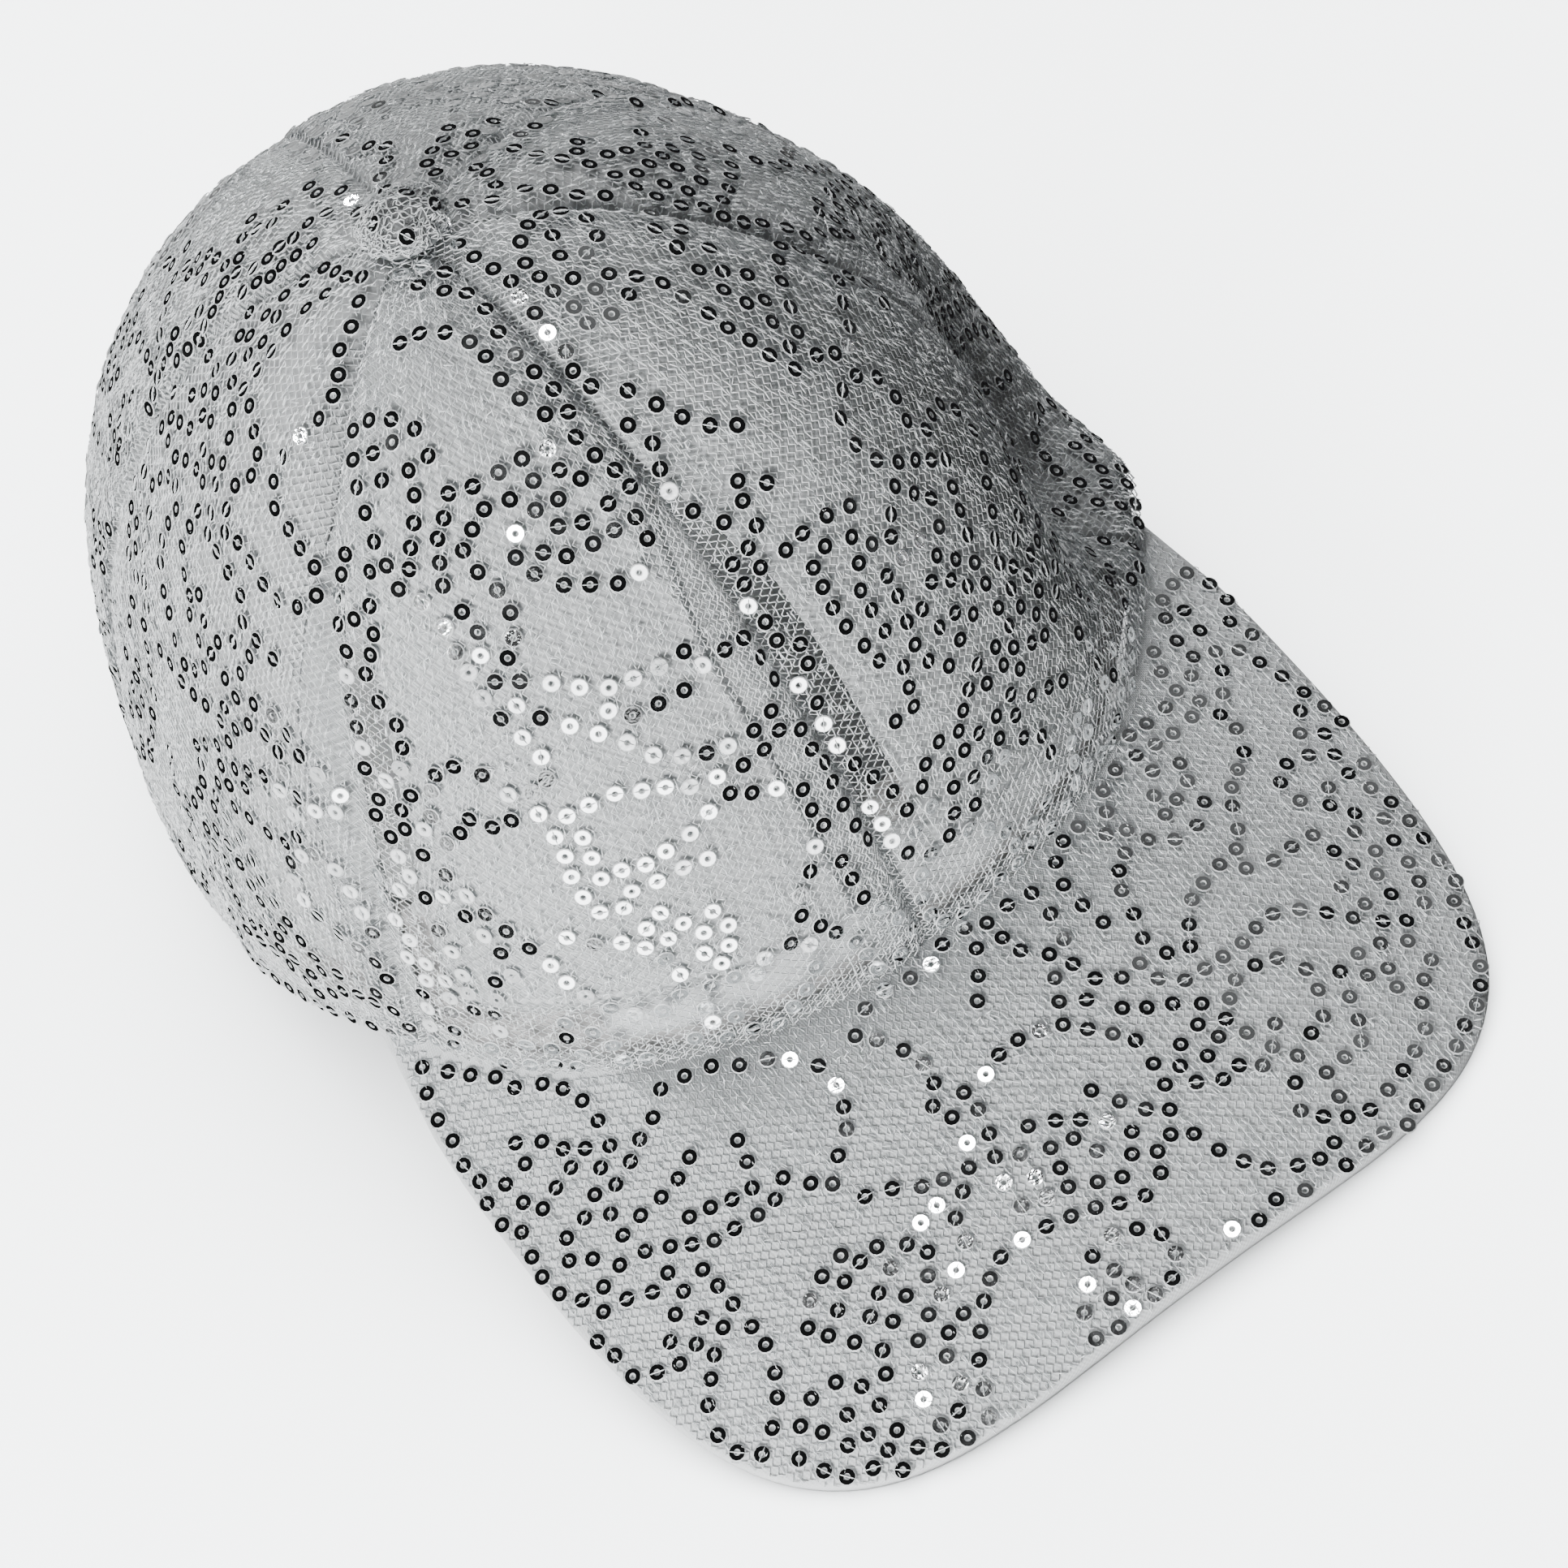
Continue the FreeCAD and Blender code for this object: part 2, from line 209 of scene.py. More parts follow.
def ripple(points, wave, seed):
    """Soft, repeatable noise between -1 and 1 from a few crossed waves."""
    rng = np.random.default_rng(seed)
    total = 0.0
    for _ in range(6):
        direction = rng.normal(size=3)
        direction *= TAU / (wave * rng.uniform(0.7, 1.5)) / np.linalg.norm(direction)
        total = total + np.sin(points @ direction + rng.uniform(0, TAU))
    return total / 3.5


def smooth(value):
    """A soft step from 0 to 1."""
    value = np.clip(value, 0.0, 1.0)
    return value * value * (3 - 2 * value)


def seam_distance(angle, points):
    """Signed distance in millimetres to the nearest seam, positive towards larger angles."""
    radius = np.hypot(points[..., 0] - LEAN_X, points[..., 1] - LEAN_Y - MIDDLE_Y)
    turns = [(angle - math.radians(s) + math.pi) % TAU - math.pi for s in SEAMS]
    stack = np.stack(turns, 0)
    pick = np.abs(stack).argmin(0)
    nearest = np.take_along_axis(stack, pick[None], 0)[0]
    return nearest * radius


def relief(angle, rise, points):
    """How far the cloth stands out from the plain crown, in millimetres."""
    gap = seam_distance(angle, points)
    swell = SWELL * (1 - np.exp(-(gap / SWELL_REACH) ** 2))
    groove = -GROOVE * np.exp(-(gap / GROOVE_REACH) ** 2)
    ridge = RIDGE * smooth((gap + RIDGE_REACH) / 1.6) * smooth((-gap - 0.2) / 1.2)
    level = points[..., 2]
    above = (level - hem_level(angle)) / HEIGHT
    waves = 0.45 * ripple(points, LONG_WAVE, 3) + 0.16 * ripple(points, SHORT_WAVE, 4)
    edge = SWEATBAND_STEP * smooth((above - SWEATBAND_TOP) / 0.012)
    calm = smooth((math.pi / 2 - rise) / 0.25)
    return (swell + groove + ridge + waves + edge) * calm - SINK + fold(angle, level)


def hump(value, centre, spread):
    """1 at the centre, fading away over the spread."""
    return np.exp(-((value - centre) / spread) ** 2)


def fold(angle, level):
    """The pushed-in left side: a hollow, a pocket under it, and the hem flaring out below."""
    turn = (np.degrees(angle) + 180) % 360 - 180
    hollow = -7.0 * hump(level, 51.0, 11.5) * hump(turn, 57.0, 15.0)
    pocket = -3.0 * hump(level, 40.0, 6.0) * hump(turn, 61.0, 12.0)
    flare = 5.7 * hump(level, 27.0, 7.5) * hump(turn, 64.0, 13.0)
    return hollow + pocket + flare


print("folds move the pushed-in side by", round(float(fold(math.radians(57.0), 51.0)), 1), "mm")


# %% The crown with its cloth on
def visible_crown(angle, rise):
    """The crown with its cloth relief."""
    angle, rise = np.broadcast_arrays(np.asarray(angle, float), np.asarray(rise, float))
    points = plain_crown(angle, rise)
    return points + plain_normal(angle, rise) * relief(angle, rise, points)[..., None]


def normals_of(surface, angle, rise, step=0.004):
    """Outward directions of a surface, from its slopes both ways."""
    low, high = np.maximum(rise - step, 0.001), rise + step
    across = surface(angle + step, rise) - surface(angle - step, rise)
    up = surface(angle, high) - surface(angle, low)
    out = np.cross(across, up)
    return out / np.maximum(np.linalg.norm(out, axis=-1, keepdims=True), 1e-12)


def plain_normal(angle, rise):
    """Outward directions of the plain crown."""
    return normals_of(plain_crown, angle, rise)


def crown(angle, rise, depth=0.0):
    """Points a given depth under the cloth's outer face."""
    angle, rise = np.broadcast_arrays(np.asarray(angle, float), np.asarray(rise, float))
    depth = np.asarray(depth, float)[..., None]
    return visible_crown(angle, rise) - plain_normal(angle, rise) * depth


def rise_at_level(angle, z):
    """The rise at which the crown reaches a height."""
    hem = hem_level(angle)
    part = np.clip((z - hem) / (HEIGHT - hem), 0.0, 1.0)
    return np.arcsin(part ** (1 / profile(angle)[1]))


def rise_at_radius(angle, fraction):
    """The rise at which the crown has drawn in to a fraction of its oval."""
    return np.arccos(fraction ** (1 / profile(angle)[0]))


print("forehead", [round(float(value), 1) for value in visible_crown(0.0, 0.5)], "mm")


# %% [markdown]
# ## Making meshes
#
# Most cloth pieces are thin closed strips, so one lofting helper makes them: it joins a row of
# closed outlines and caps both ends.  It keeps a map of real millimetres as its UVs, which lets a
# weave follow the strip.  Its volume shows at once whether it came out inside out.

# %% Mesh helpers
def add_object(name, vertices, faces, material, edges=(), shade_smooth=True):
    """A mesh object at the origin, from points in millimetres."""
    mesh = bpy.data.meshes.new(name)
    mesh.from_pydata((np.asarray(vertices) * MM).tolist(), list(edges), faces)
    mesh.update()
    if material:
        mesh.materials.append(material)
    if shade_smooth:
        mesh.polygons.foreach_set("use_smooth", [True] * len(mesh.polygons))
    thing = bpy.data.objects.new(name, mesh)
    bpy.context.scene.collection.objects.link(thing)
    return thing


def volume_of(vertices, faces):
    """The volume inside closed faces; below 0 when they point inwards."""
    total = 0.0
    for face in faces:
        corner = vertices[face[0]]
        for i in range(1, len(face) - 1):
            total += np.dot(corner, np.cross(vertices[face[i]], vertices[face[i + 1]]))
    return total / 6


def loft(name, sections, material, closed_path=False):
    """Join closed outlines, sections[row, point], into one closed solid with UVs in metres."""
    sections = np.asarray(sections, float)
    rows, count = sections.shape[:2]
    vertices = sections.reshape(-1, 3)
    spans = rows if closed_path else rows - 1
    faces = []
    for i in range(spans):
        here, there = i * count, ((i + 1) % rows) * count
        for j in range(count):
            k = (j + 1) % count
            faces.append((here + j, here + k, there + k, there + j))
    if not closed_path:
        faces.append(tuple(range(count - 1, -1, -1)))
        faces.append(tuple((rows - 1) * count + j for j in range(count)))
    if volume_of(vertices, faces) < 0:
        faces = [tuple(reversed(face)) for face in faces]
    thing = add_object(name, vertices, faces, material)
    across = np.linalg.norm(np.diff(sections, axis=1, append=sections[:, :1]), axis=-1)
    around = np.concatenate([np.zeros((rows, 1)), np.cumsum(across, 1)[:, :-1]], 1)
    steps = np.linalg.norm(np.diff(sections.mean(1), axis=0), axis=-1)
    along = np.concatenate([[0.0], np.cumsum(steps)])[:, None] + 0 * around
    flat = np.stack([along, around], -1).reshape(-1, 2) * MM
    layer = thing.data.uv_layers.new(name="Cloth")
    corners = np.empty(len(thing.data.loops), int)
    thing.data.loops.foreach_get("vertex_index", corners)
    layer.data.foreach_set("uv", flat[corners].ravel())
    return thing


def sheet_sections(place, outer, inner, columns, rows):
    """Closed outlines of a thin curved sheet; place(u, v, depth) gives points."""
    u = np.linspace(0, 1, columns)[:, None]
    v = np.linspace(0, 1, rows)[None, :]
    front, back = place(u, v, outer), place(u, v, inner)
    return np.concatenate([front, back[:, ::-1]], 1)


def dress(thing, body, slot, *nodes):
    """Ride on a body and stand for CAD nodes; slot is not used."""
    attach(thing, body)
    if nodes:
        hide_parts(*nodes)
    return thing


print("mesh helpers ready; 1 mm is", MM, "m here")


# %% [markdown]
# ## Writing nodes as sums
#
# Materials and Geometry Nodes are both node trees.  `Graph.add` adds any node, and `Wire` wraps an
# output so that ordinary Python sums make the Math nodes.

# %% A small language for nodes
class Wire:
    """An output socket that can be added, multiplied and compared."""

    def __init__(self, graph, socket):
        self.graph, self.socket = graph, socket

    def math(self, operation, *others):
        sockets = {0: self}
        sockets.update({i + 1: other for i, other in enumerate(others)})
        return self.graph.add("ShaderNodeMath", {"operation": operation}, sockets)

    def __add__(self, other):
        return self.math("ADD", other)

    def __sub__(self, other):
        return self.math("SUBTRACT", other)

    def __rsub__(self, other):
        return (self * -1.0) + other

    def __mul__(self, other):
        return self.math("MULTIPLY", other)

    __radd__, __rmul__ = __add__, __mul__

    def output(self, name):
        """Another output of the same node."""
        return Wire(self.graph, self.socket.node.outputs[name])

    def clamp(self):
        """Kept between 0 and 1."""
        return self.math("MINIMUM", 1.0).math("MAXIMUM", 0.0)


class Graph:
    """A node tree and the one method that adds nodes to it."""

    def __init__(self, tree):
        self.tree = tree

    def add(self, kind, settings=None, sockets=None, output=0):
        """Add a node: its settings first, then the values or links of its sockets."""
        node = self.tree.nodes.new(kind)
        for key, value in (settings or {}).items():
            setattr(node, key, value)
        for key, value in (sockets or {}).items():
            if isinstance(value, Wire):
                self.tree.links.new(value.socket, node.inputs[key])
            else:
                node.inputs[key].default_value = value
        return Wire(self, node.outputs[output]) if node.outputs else node


def grey(value, warm=-0.03):
    """A near-neutral colour, a little cool unless it is told otherwise."""
    return (value * (1 + warm), value, value * (1 - 0.4 * warm), 1.0)


print("a mid grey of the cap:", grey(0.5))


# %% [markdown]
# ## Finishes
#
# Net yarn is a pearly synthetic with a metal thread in it.  The sequins are mirror film with a
# pressed edge, whose pale, mostly matt tone is a painted reflection of the bright room.  The hidden
# cloths are cotton and felt, all white; the backing felt and buckram are greyed as painted shade
# in the net's gaps, and the button's ground is near black as painted shade.  Each finish has the
# grain of the real thing at its real size, as roughness, bump and small changes of colour.

# %% Helpers for finishes
def material(name, build, **fixed):
    """A Principled material; build(graph, shader) links what varies."""
    made = bpy.data.materials.new(name)
    made.use_nodes = True
    graph = Graph(made.node_tree)
    shader = made.node_tree.nodes["Principled BSDF"]
    for key, value in fixed.items():
        shader.inputs[key.replace("_", " ")].default_value = value
    build(graph, shader)
    return made


def link(graph, wire, shader, name):
    """Feed a wire into one of the shader's sockets."""
    graph.tree.links.new(wire.socket, shader.inputs[name])


def object_noise(graph, scale, detail=2.0, stretch=None):
    """Noise over the piece's own coordinates; scale is in cells per metre."""
    place = graph.add("ShaderNodeTexCoord", output="Object")
    if stretch:
        place = graph.add("ShaderNodeMapping", sockets={"Vector": place, "Scale": stretch})
    return graph.add("ShaderNodeTexNoise", sockets={"Vector": place, "Scale": scale,
                                                    "Detail": detail})


def blend_colour(graph, factor, first, second):
    """Colour between two colours; 6 and 7 are the Mix node's colour inputs, 2 its colour output."""
    return graph.add("ShaderNodeMix", {"data_type": "RGBA"},
                     {"Factor": factor, 6: first, 7: second}, output=2)


def add_bump(graph, shader, height, distance):
    """Relief from a height, at most distance metres deep."""
    relief_node = graph.add("ShaderNodeBump", sockets={"Height": height, "Distance": distance,
                                                       "Strength": 1.0})
    link(graph, relief_node, shader, "Normal")


def weave(graph, pitch, twill=0.0):
    """Over-and-under height of a woven cloth on its own UVs; pitch is the yarn spacing."""
    place = graph.add("ShaderNodeUVMap", {"uv_map": "Cloth"})
    split = graph.add("ShaderNodeSeparateXYZ", sockets={0: place})
    u, v = split.output("X"), split.output("Y")
    turn = TAU / pitch
    warp = (u * turn + v * (turn * twill)).math("SINE")
    weft = (v * turn).math("SINE")
    return (warp * weft) * 0.5 + 0.5


print("helpers for finishes ready")


# %% Recipes for finishes
def yarn_look(low, high, rough):
    """Pearly yarn: its grey drifts along it, and fine fibres catch the light."""
    def build(graph, shader):
        patch = object_noise(graph, 900.0, 1.0)
        broad = object_noise(graph, 60.0, 2.0)
        factor = (patch * 1.6 - 0.4 + broad * 0.3).clamp()
        link(graph, blend_colour(graph, factor, grey(low), grey(high)),
             shader, "Base Color")
        link(graph, (patch * -0.35 + (rough + 0.2)).clamp(), shader, "Roughness")
        fibre = object_noise(graph, 5200.0, 1.0, (1.0, 1.0, 0.3))
        add_bump(graph, shader, fibre, 0.00004)
    return build


def cloth_look(low, high, pitch, twill=0.0, warm=-0.03, depth=0.00008, rough=0.85):
    """Woven cloth with a little wear; pitch is the yarn spacing in metres."""
    def build(graph, shader):
        threads = weave(graph, pitch, twill)
        wear = object_noise(graph, 35.0, 3.0)
        fuzz = object_noise(graph, 2600.0, 2.0)
        factor = (threads * 0.45 + wear * 0.7 - 0.1).clamp()
        link(graph, blend_colour(graph, factor, grey(low, warm), grey(high, warm)),
             shader, "Base Color")
        link(graph, (fuzz * 0.2 + (rough - 0.1)).clamp(), shader, "Roughness")
        add_bump(graph, shader, threads + fuzz * 0.5, depth)
    return build


def felt_look(low, high, scale, depth):
    """Matted fibres, or a moulded grain when it is shallow."""
    def build(graph, shader):
        fibres = object_noise(graph, scale, 4.0)
        broad = object_noise(graph, 40.0, 2.0)
        factor = (fibres * 1.4 - 0.35 + broad * 0.25).clamp()
        link(graph, blend_colour(graph, factor, grey(low), grey(high, -0.02)),
             shader, "Base Color")
        link(graph, (fibres * 0.2 + 0.75).clamp(), shader, "Roughness")
        add_bump(graph, shader, fibres, depth)
    return build


def mirror_look(low, high, rough):
    """Metallised film that is never quite flat or quite even."""
    def build(graph, shader):
        film = object_noise(graph, 260.0, 1.0)
        link(graph, blend_colour(graph, (film * 2.2 - 0.6).clamp(), grey(low), grey(high)),
             shader, "Base Color")
        link(graph, (film * 0.08 + rough).clamp(), shader, "Roughness")
        add_bump(graph, shader, object_noise(graph, 1500.0, 1.0), 0.000012)
    return build


def pressed_metal(graph, shader):
    """Soft aluminium with drawing marks one way."""
    brushed = object_noise(graph, 1800.0, 3.0, (1.0, 0.08, 1.0))
    link(graph, blend_colour(graph, brushed, grey(0.52), grey(0.70)), shader, "Base Color")
    link(graph, (brushed * 0.25 + 0.22).clamp(), shader, "Roughness")
    add_bump(graph, shader, brushed, 0.00002)


print("recipes: yarn, woven cloth, felt, mirror film and pressed metal")

# %% The cap's finishes
net_yarn = material("silver net yarn", yarn_look(0.56, 0.96, 0.36), Metallic=0.15)
tinsel = material("bright metal thread", yarn_look(0.92, 1.0, 0.30), Metallic=0.35)
# The button's ground is near black as painted shade: it stands for the shade seen through the
# gathered net's cells.
button_ground_painted_shade = material("button under cloth", cloth_look(0.14, 0.24, 0.0009))
mirror_film = material("sequin mirror film", mirror_look(0.72, 0.86, 0.02), Metallic=1.0)
# The sequin's pressed edge is rougher than its film; its pale, mostly matt tone is a painted
# reflection of the bright room in the flared rim.
pressed_edge_painted_reflection = material("sequin pressed edge", mirror_look(0.62, 0.76, 0.35), Metallic=0.1)
sewing_thread = material("sewing thread", yarn_look(0.80, 0.96, 0.45), Metallic=0.0)
# The backing felt and buckram are white cloth; their grey tone is painted shade for the shade the net
# casts into its gaps.
white_felt_painted_shade = material("white backing felt", felt_look(0.42, 0.56, 2600.0, 0.00010))
buckram_painted_shade = material("stiff buckram", cloth_look(0.46, 0.62, 0.0011, depth=0.00012))
brim_cloth = material("brim upper cloth", cloth_look(0.72, 0.84, 0.0007, 0.3, depth=0.00005))
lining_cloth = material("brim under cloth", cloth_look(0.58, 0.72, 0.0009, 1.0))
cotton_twill = material("sweatband twill", cloth_look(0.42, 0.56, 0.0011, 1.0, warm=0.02))
cotton_tape = material("seam tape", cloth_look(0.44, 0.58, 0.0010, 0.6))
tab_cloth = material("tab cloth", cloth_look(0.62, 0.78, 0.0010, 1.0))
foam_cloth = material("pad cloth", felt_look(0.64, 0.80, 1400.0, 0.00012))
hook_nylon = material("hook nylon", felt_look(0.66, 0.80, 3000.0, 0.00003))
loop_nylon = material("loop nylon", felt_look(0.62, 0.84, 2200.0, 0.00030))
button_metal = material("pressed aluminium", pressed_metal, Metallic=1.0)
board_plastic = material("brim board plastic", felt_look(0.60, 0.70, 500.0, 0.00004))
print("materials", len(bpy.data.materials))

# %% [markdown]
# ## Trees that repeat things
#
# Two Geometry Nodes trees do all the repeating.  One turns drawn lines into yarn.  The other puts
# a copy of a small shape on every marked point, facing the way the point faces: sequins, ticks of
# thread, stitches and hooks.  Both end with real meshes, because instances don't leave Blender.

# %% Geometry Nodes helpers
def geometry_tree(name, inputs):
    """An empty tree with named inputs; returns its graph, its inputs and its output node."""
    tree = bpy.data.node_groups.new(name, "GeometryNodeTree")
    tree.interface.new_socket("Geometry", in_out="INPUT", socket_type="NodeSocketGeometry")
    for label, kind in inputs.items():
        tree.interface.new_socket(label, in_out="INPUT", socket_type="NodeSocket" + kind)
    tree.interface.new_socket("Geometry", in_out="OUTPUT", socket_type="NodeSocketGeometry")
    graph = Graph(tree)
    entry = graph.add("NodeGroupInput")
    sources = {label: entry.output(label) for label in ["Geometry", *inputs]}
    return graph, sources, tree.nodes.new("NodeGroupOutput")


def finish_tree(graph, wire, exit_node):
    """Send the last wire out and hand back the tree."""
    graph.tree.links.new(wire.socket, exit_node.inputs[0])
    return graph.tree


def vector_attribute(graph, name):
    """A direction stored on the points."""
    return graph.add("GeometryNodeInputNamedAttribute", {"data_type": "FLOAT_VECTOR"},
                     {"Name": name})


def grown(source, tree, values, name, soft_edges=True):
    """Run a tree on an object, keep the result as one plain mesh, and drop the source."""
    modifier = source.modifiers.new("grow", "NODES")
    modifier.node_group = tree
    for item in tree.interface.items_tree:
        if item.in_out == "INPUT" and item.name in values:
            modifier[item.identifier] = values[item.name]
    evaluated = source.evaluated_get(bpy.context.evaluated_depsgraph_get())
    mesh = bpy.data.meshes.new_from_object(evaluated)
    source.modifiers.remove(modifier)
    bpy.data.objects.remove(source)
    mesh.name = name
    mesh.polygons.foreach_set("use_smooth", [soft_edges] * len(mesh.polygons))
    thing = bpy.data.objects.new(name, mesh)
    bpy.context.scene.collection.objects.link(thing)
    return thing


print("helpers for trees ready")


# %% Two trees
def yarn_tree():
    """A round yarn along every line of a mesh."""
    graph, given, last = geometry_tree("yarn along lines", {
        "Yarn Radius": "Float", "Sides": "Int", "Finish": "Material"})
    lines = graph.add("GeometryNodeMeshToCurve", sockets={"Mesh": given["Geometry"]})
    ring = graph.add("GeometryNodeCurvePrimitiveCircle", {"mode": "RADIUS"},
                     {"Resolution": given["Sides"], "Radius": given["Yarn Radius"]})
    tube = graph.add("GeometryNodeCurveToMesh", sockets={
        "Curve": lines, "Profile Curve": ring, "Fill Caps": True})
    real = graph.add("GeometryNodeRealizeInstances", sockets={"Geometry": tube})
    done = graph.add("GeometryNodeSetMaterial", sockets={
        "Geometry": real, "Material": given["Finish"]})
    return finish_tree(graph, done, last)


CHANCE_SEED = 11


def placing_tree():
    """A shape on every point: its Z along "facing", its X along "along", a little askew."""
    graph, given, last = geometry_tree("shape on points", {
        "Shape": "Object", "Askew": "Float", "Seed": "Int", "Chance": "Float",
        "Finish": "Material"})
    upright = graph.add("FunctionNodeAlignRotationToVector", {"axis": "Z"},
                        {"Vector": vector_attribute(graph, "facing")})
    turned = graph.add("FunctionNodeAlignRotationToVector", {"axis": "X", "pivot_axis": "Z"},
                       {"Rotation": upright, "Vector": vector_attribute(graph, "along")})
    low = graph.add("ShaderNodeVectorMath", {"operation": "SCALE"},
                    {0: (-1.0, -1.0, 0.0), "Scale": given["Askew"]})
    high = graph.add("ShaderNodeVectorMath", {"operation": "SCALE"},
                     {0: (1.0, 1.0, 0.0), "Scale": given["Askew"]})
    lean = graph.add("FunctionNodeRandomValue", {"data_type": "FLOAT_VECTOR"},
                     {0: low, 1: high, "Seed": given["Seed"]})
    askew = graph.add("FunctionNodeEulerToRotation", sockets={0: lean})
    final = graph.add("FunctionNodeRotateRotation", {"rotation_space": "LOCAL"},
                      {"Rotation": turned, "Rotate By": askew})
    wanted = graph.add("FunctionNodeRandomValue", {"data_type": "BOOLEAN"},
                       {"Probability": given["Chance"], "Seed": CHANCE_SEED}, output=3)
    shape = graph.add("GeometryNodeObjectInfo", sockets={"Object": given["Shape"]},
                      output="Geometry")
    placed = graph.add("GeometryNodeInstanceOnPoints", sockets={
        "Points": given["Geometry"], "Selection": wanted, "Instance": shape,
        "Rotation": final})
    real = graph.add("GeometryNodeRealizeInstances", sockets={"Geometry": placed})
    done = graph.add("GeometryNodeSetMaterial", sockets={
        "Geometry": real, "Material": given["Finish"]})
    return finish_tree(graph, done, last)


YARN, PLACING = yarn_tree(), placing_tree()
print("trees:", YARN.name, "and", PLACING.name)


# %% The small shapes that repeat
def ring_shape(name, outline, sides=12):
    """A closed ring turned from an outline of (radius, height) points, in millimetres."""
    outline = np.asarray(outline, float)
    angles = np.arange(sides) * TAU / sides
    sections = np.stack([np.outer(np.cos(angles), outline[:, 0]),
                         np.outer(np.sin(angles), outline[:, 0]),
                         np.outer(np.ones(sides), outline[:, 1])], -1)
    shape = loft(name, sections, None, closed_path=True)
    shape.hide_render = True
    return shape


def bar_shape(name, length, radius, lift=0.0, sides=3):
    """A thin bar along X, arched up by lift in its middle if there is any, in millimetres."""
    x = np.array([-0.5, -0.25, 0.25, 0.5] if lift else [-0.5, 0.5]) * length
    z = np.where(np.abs(x) < 0.4 * length, lift, 0.0)
    angles = np.arange(sides) * TAU / sides + math.pi / 2
    sections = np.stack([np.repeat(x[:, None], sides, 1),
                         np.repeat(radius * np.cos(angles)[None], len(x), 0),
                         z[:, None] + radius * np.sin(angles)[None]], -1)
    shape = loft(name, sections, None)
    shape.hide_render = True
    return shape


mirror_ring = ring_shape("mirror ring", [(0.52, 0.17), (1.24, 0.17), (0.90, 0.08)])
edge_ring = ring_shape("edge ring", [(0.34, 0.02), (0.51, 0.15), (1.25, 0.15), (1.42, 0.04)])
thread_bar = bar_shape("thread bar", 3.0, 0.10, 0.26)
stitch_bar = bar_shape("stitch", 2.2, 0.24, 0.12, sides=5)
hook_bar = bar_shape("hook", 0.5, 0.10)
tinsel_bar = bar_shape("tinsel", 1.5, 0.10)
small_shapes = (mirror_ring, edge_ring, thread_bar, stitch_bar, hook_bar, tinsel_bar)
print("faces of the small shapes", [len(shape.data.polygons) for shape in small_shapes])

# %% [markdown]
# ## Flat patterns
#
# Net is cut flat and then sewn to shape.  A flat pattern for each panel runs up its middle, so the
# net's meshes keep one size all over, as real knitted cloth does, and are cut off at the seams.


# %% A panel's flat pattern
PATTERN_ROWS = 240
PATTERN_TOP = 0.045  # the pattern ends at this fraction of the oval, under the button


class Panel:
    """Turns flat millimetres on a panel into a place on the crown."""

    def __init__(self, name, start, end, step=0.01):
        self.name = name
        self.start, self.end = math.radians(start), math.radians(end)
        self.middle, self.half = (self.start + self.end) / 2, (self.end - self.start) / 2
        top = rise_at_radius(self.middle, PATTERN_TOP)
        self.rises = np.linspace(0.0005, float(top), PATTERN_ROWS)
        line = plain_crown(np.full(PATTERN_ROWS, self.middle), self.rises)
        steps = np.linalg.norm(np.diff(line, axis=0), axis=1)
        self.heights = np.concatenate([[0.0], np.cumsum(steps)])
        wide = (plain_crown(np.full(PATTERN_ROWS, self.middle + step), self.rises)
                - plain_crown(np.full(PATTERN_ROWS, self.middle - step), self.rises))
        self.radii = np.linalg.norm(wide, axis=1) / (2 * step)
        self.height = float(self.heights[-1])
        self.width = 2 * self.half * float(self.radii.max())

    def place(self, x, y):
        """Angle and rise of a flat point."""
        rise = np.interp(y, self.heights, self.rises)
        radius = np.interp(y, self.heights, self.radii)
        return self.middle + x / radius, rise

    def inside(self, x, y, margin=0.0, edge=None):
        """Whether a flat point is on the panel, clear of its seams and of the opening's edge."""
        radius = np.interp(y, self.heights, self.radii)
        good = (np.abs(x) <= self.half * radius - margin) & (y >= max(margin, 0.0))
        good &= y <= self.height - margin
        angle, rise = self.place(x, y)
        points = plain_crown(angle, rise)
        good &= points[..., 2] > 0.3
        return good & ~in_opening(points, margin if edge is None else edge)


def opening_top(x, margin):
    """Height of the back opening's arch over x, grown by a margin."""
    half, rise = OPENING_HALF + margin, OPENING_TOP - OPENING_SIDE + margin
    return np.maximum(1 - (x / half) ** 2, 0.0) ** 0.5 * rise + OPENING_SIDE


def in_opening(points, margin=0.0):
    """Whether points at the back lie in the arched opening, grown by a margin."""
    x, y, z = points[..., 0], points[..., 1], points[..., 2]
    inside = (y > MIDDLE_Y) & (np.abs(x) < OPENING_HALF + margin)
    return inside & (z < opening_top(x, margin))


spans = {"front_left": (0, FRONT_SEAM), "side_left": (FRONT_SEAM, BACK_SEAM),
         "back_left": (BACK_SEAM, 180), "back_right": (180, 360 - BACK_SEAM),
         "side_right": (360 - BACK_SEAM, 360 - FRONT_SEAM),
         "front_right": (360 - FRONT_SEAM, 360)}
panels = {name: Panel(name, *span) for name, span in spans.items()}
for panel in panels.values():
    print(f"pattern {panel.name}: {panel.width:.0f} mm wide, {panel.height:.0f} mm high")

# %% [markdown]
# ## Knitted net
#
# Warp-knit net is a row of yarns that zigzag and grip their neighbours on each side in turn, which
# leaves six-sided holes.  Each yarn is drawn as one zigzag line on the flat pattern, and the yarn
# tree makes it round.  Along the seams and the hem the net is double, because its edge is folded
# under there.

# %% Zigzag yarns
WALE, COURSE, SWING, YARN_RADIUS = 1.05, 1.5, 0.36, 0.12
SEAM_FOLD, HEM_FOLD, BARE_TOP = 7.5, 4.0, 14.0
OPEN_BY_SEAM, OPEN_BY_HEM = 8.5, 16.5


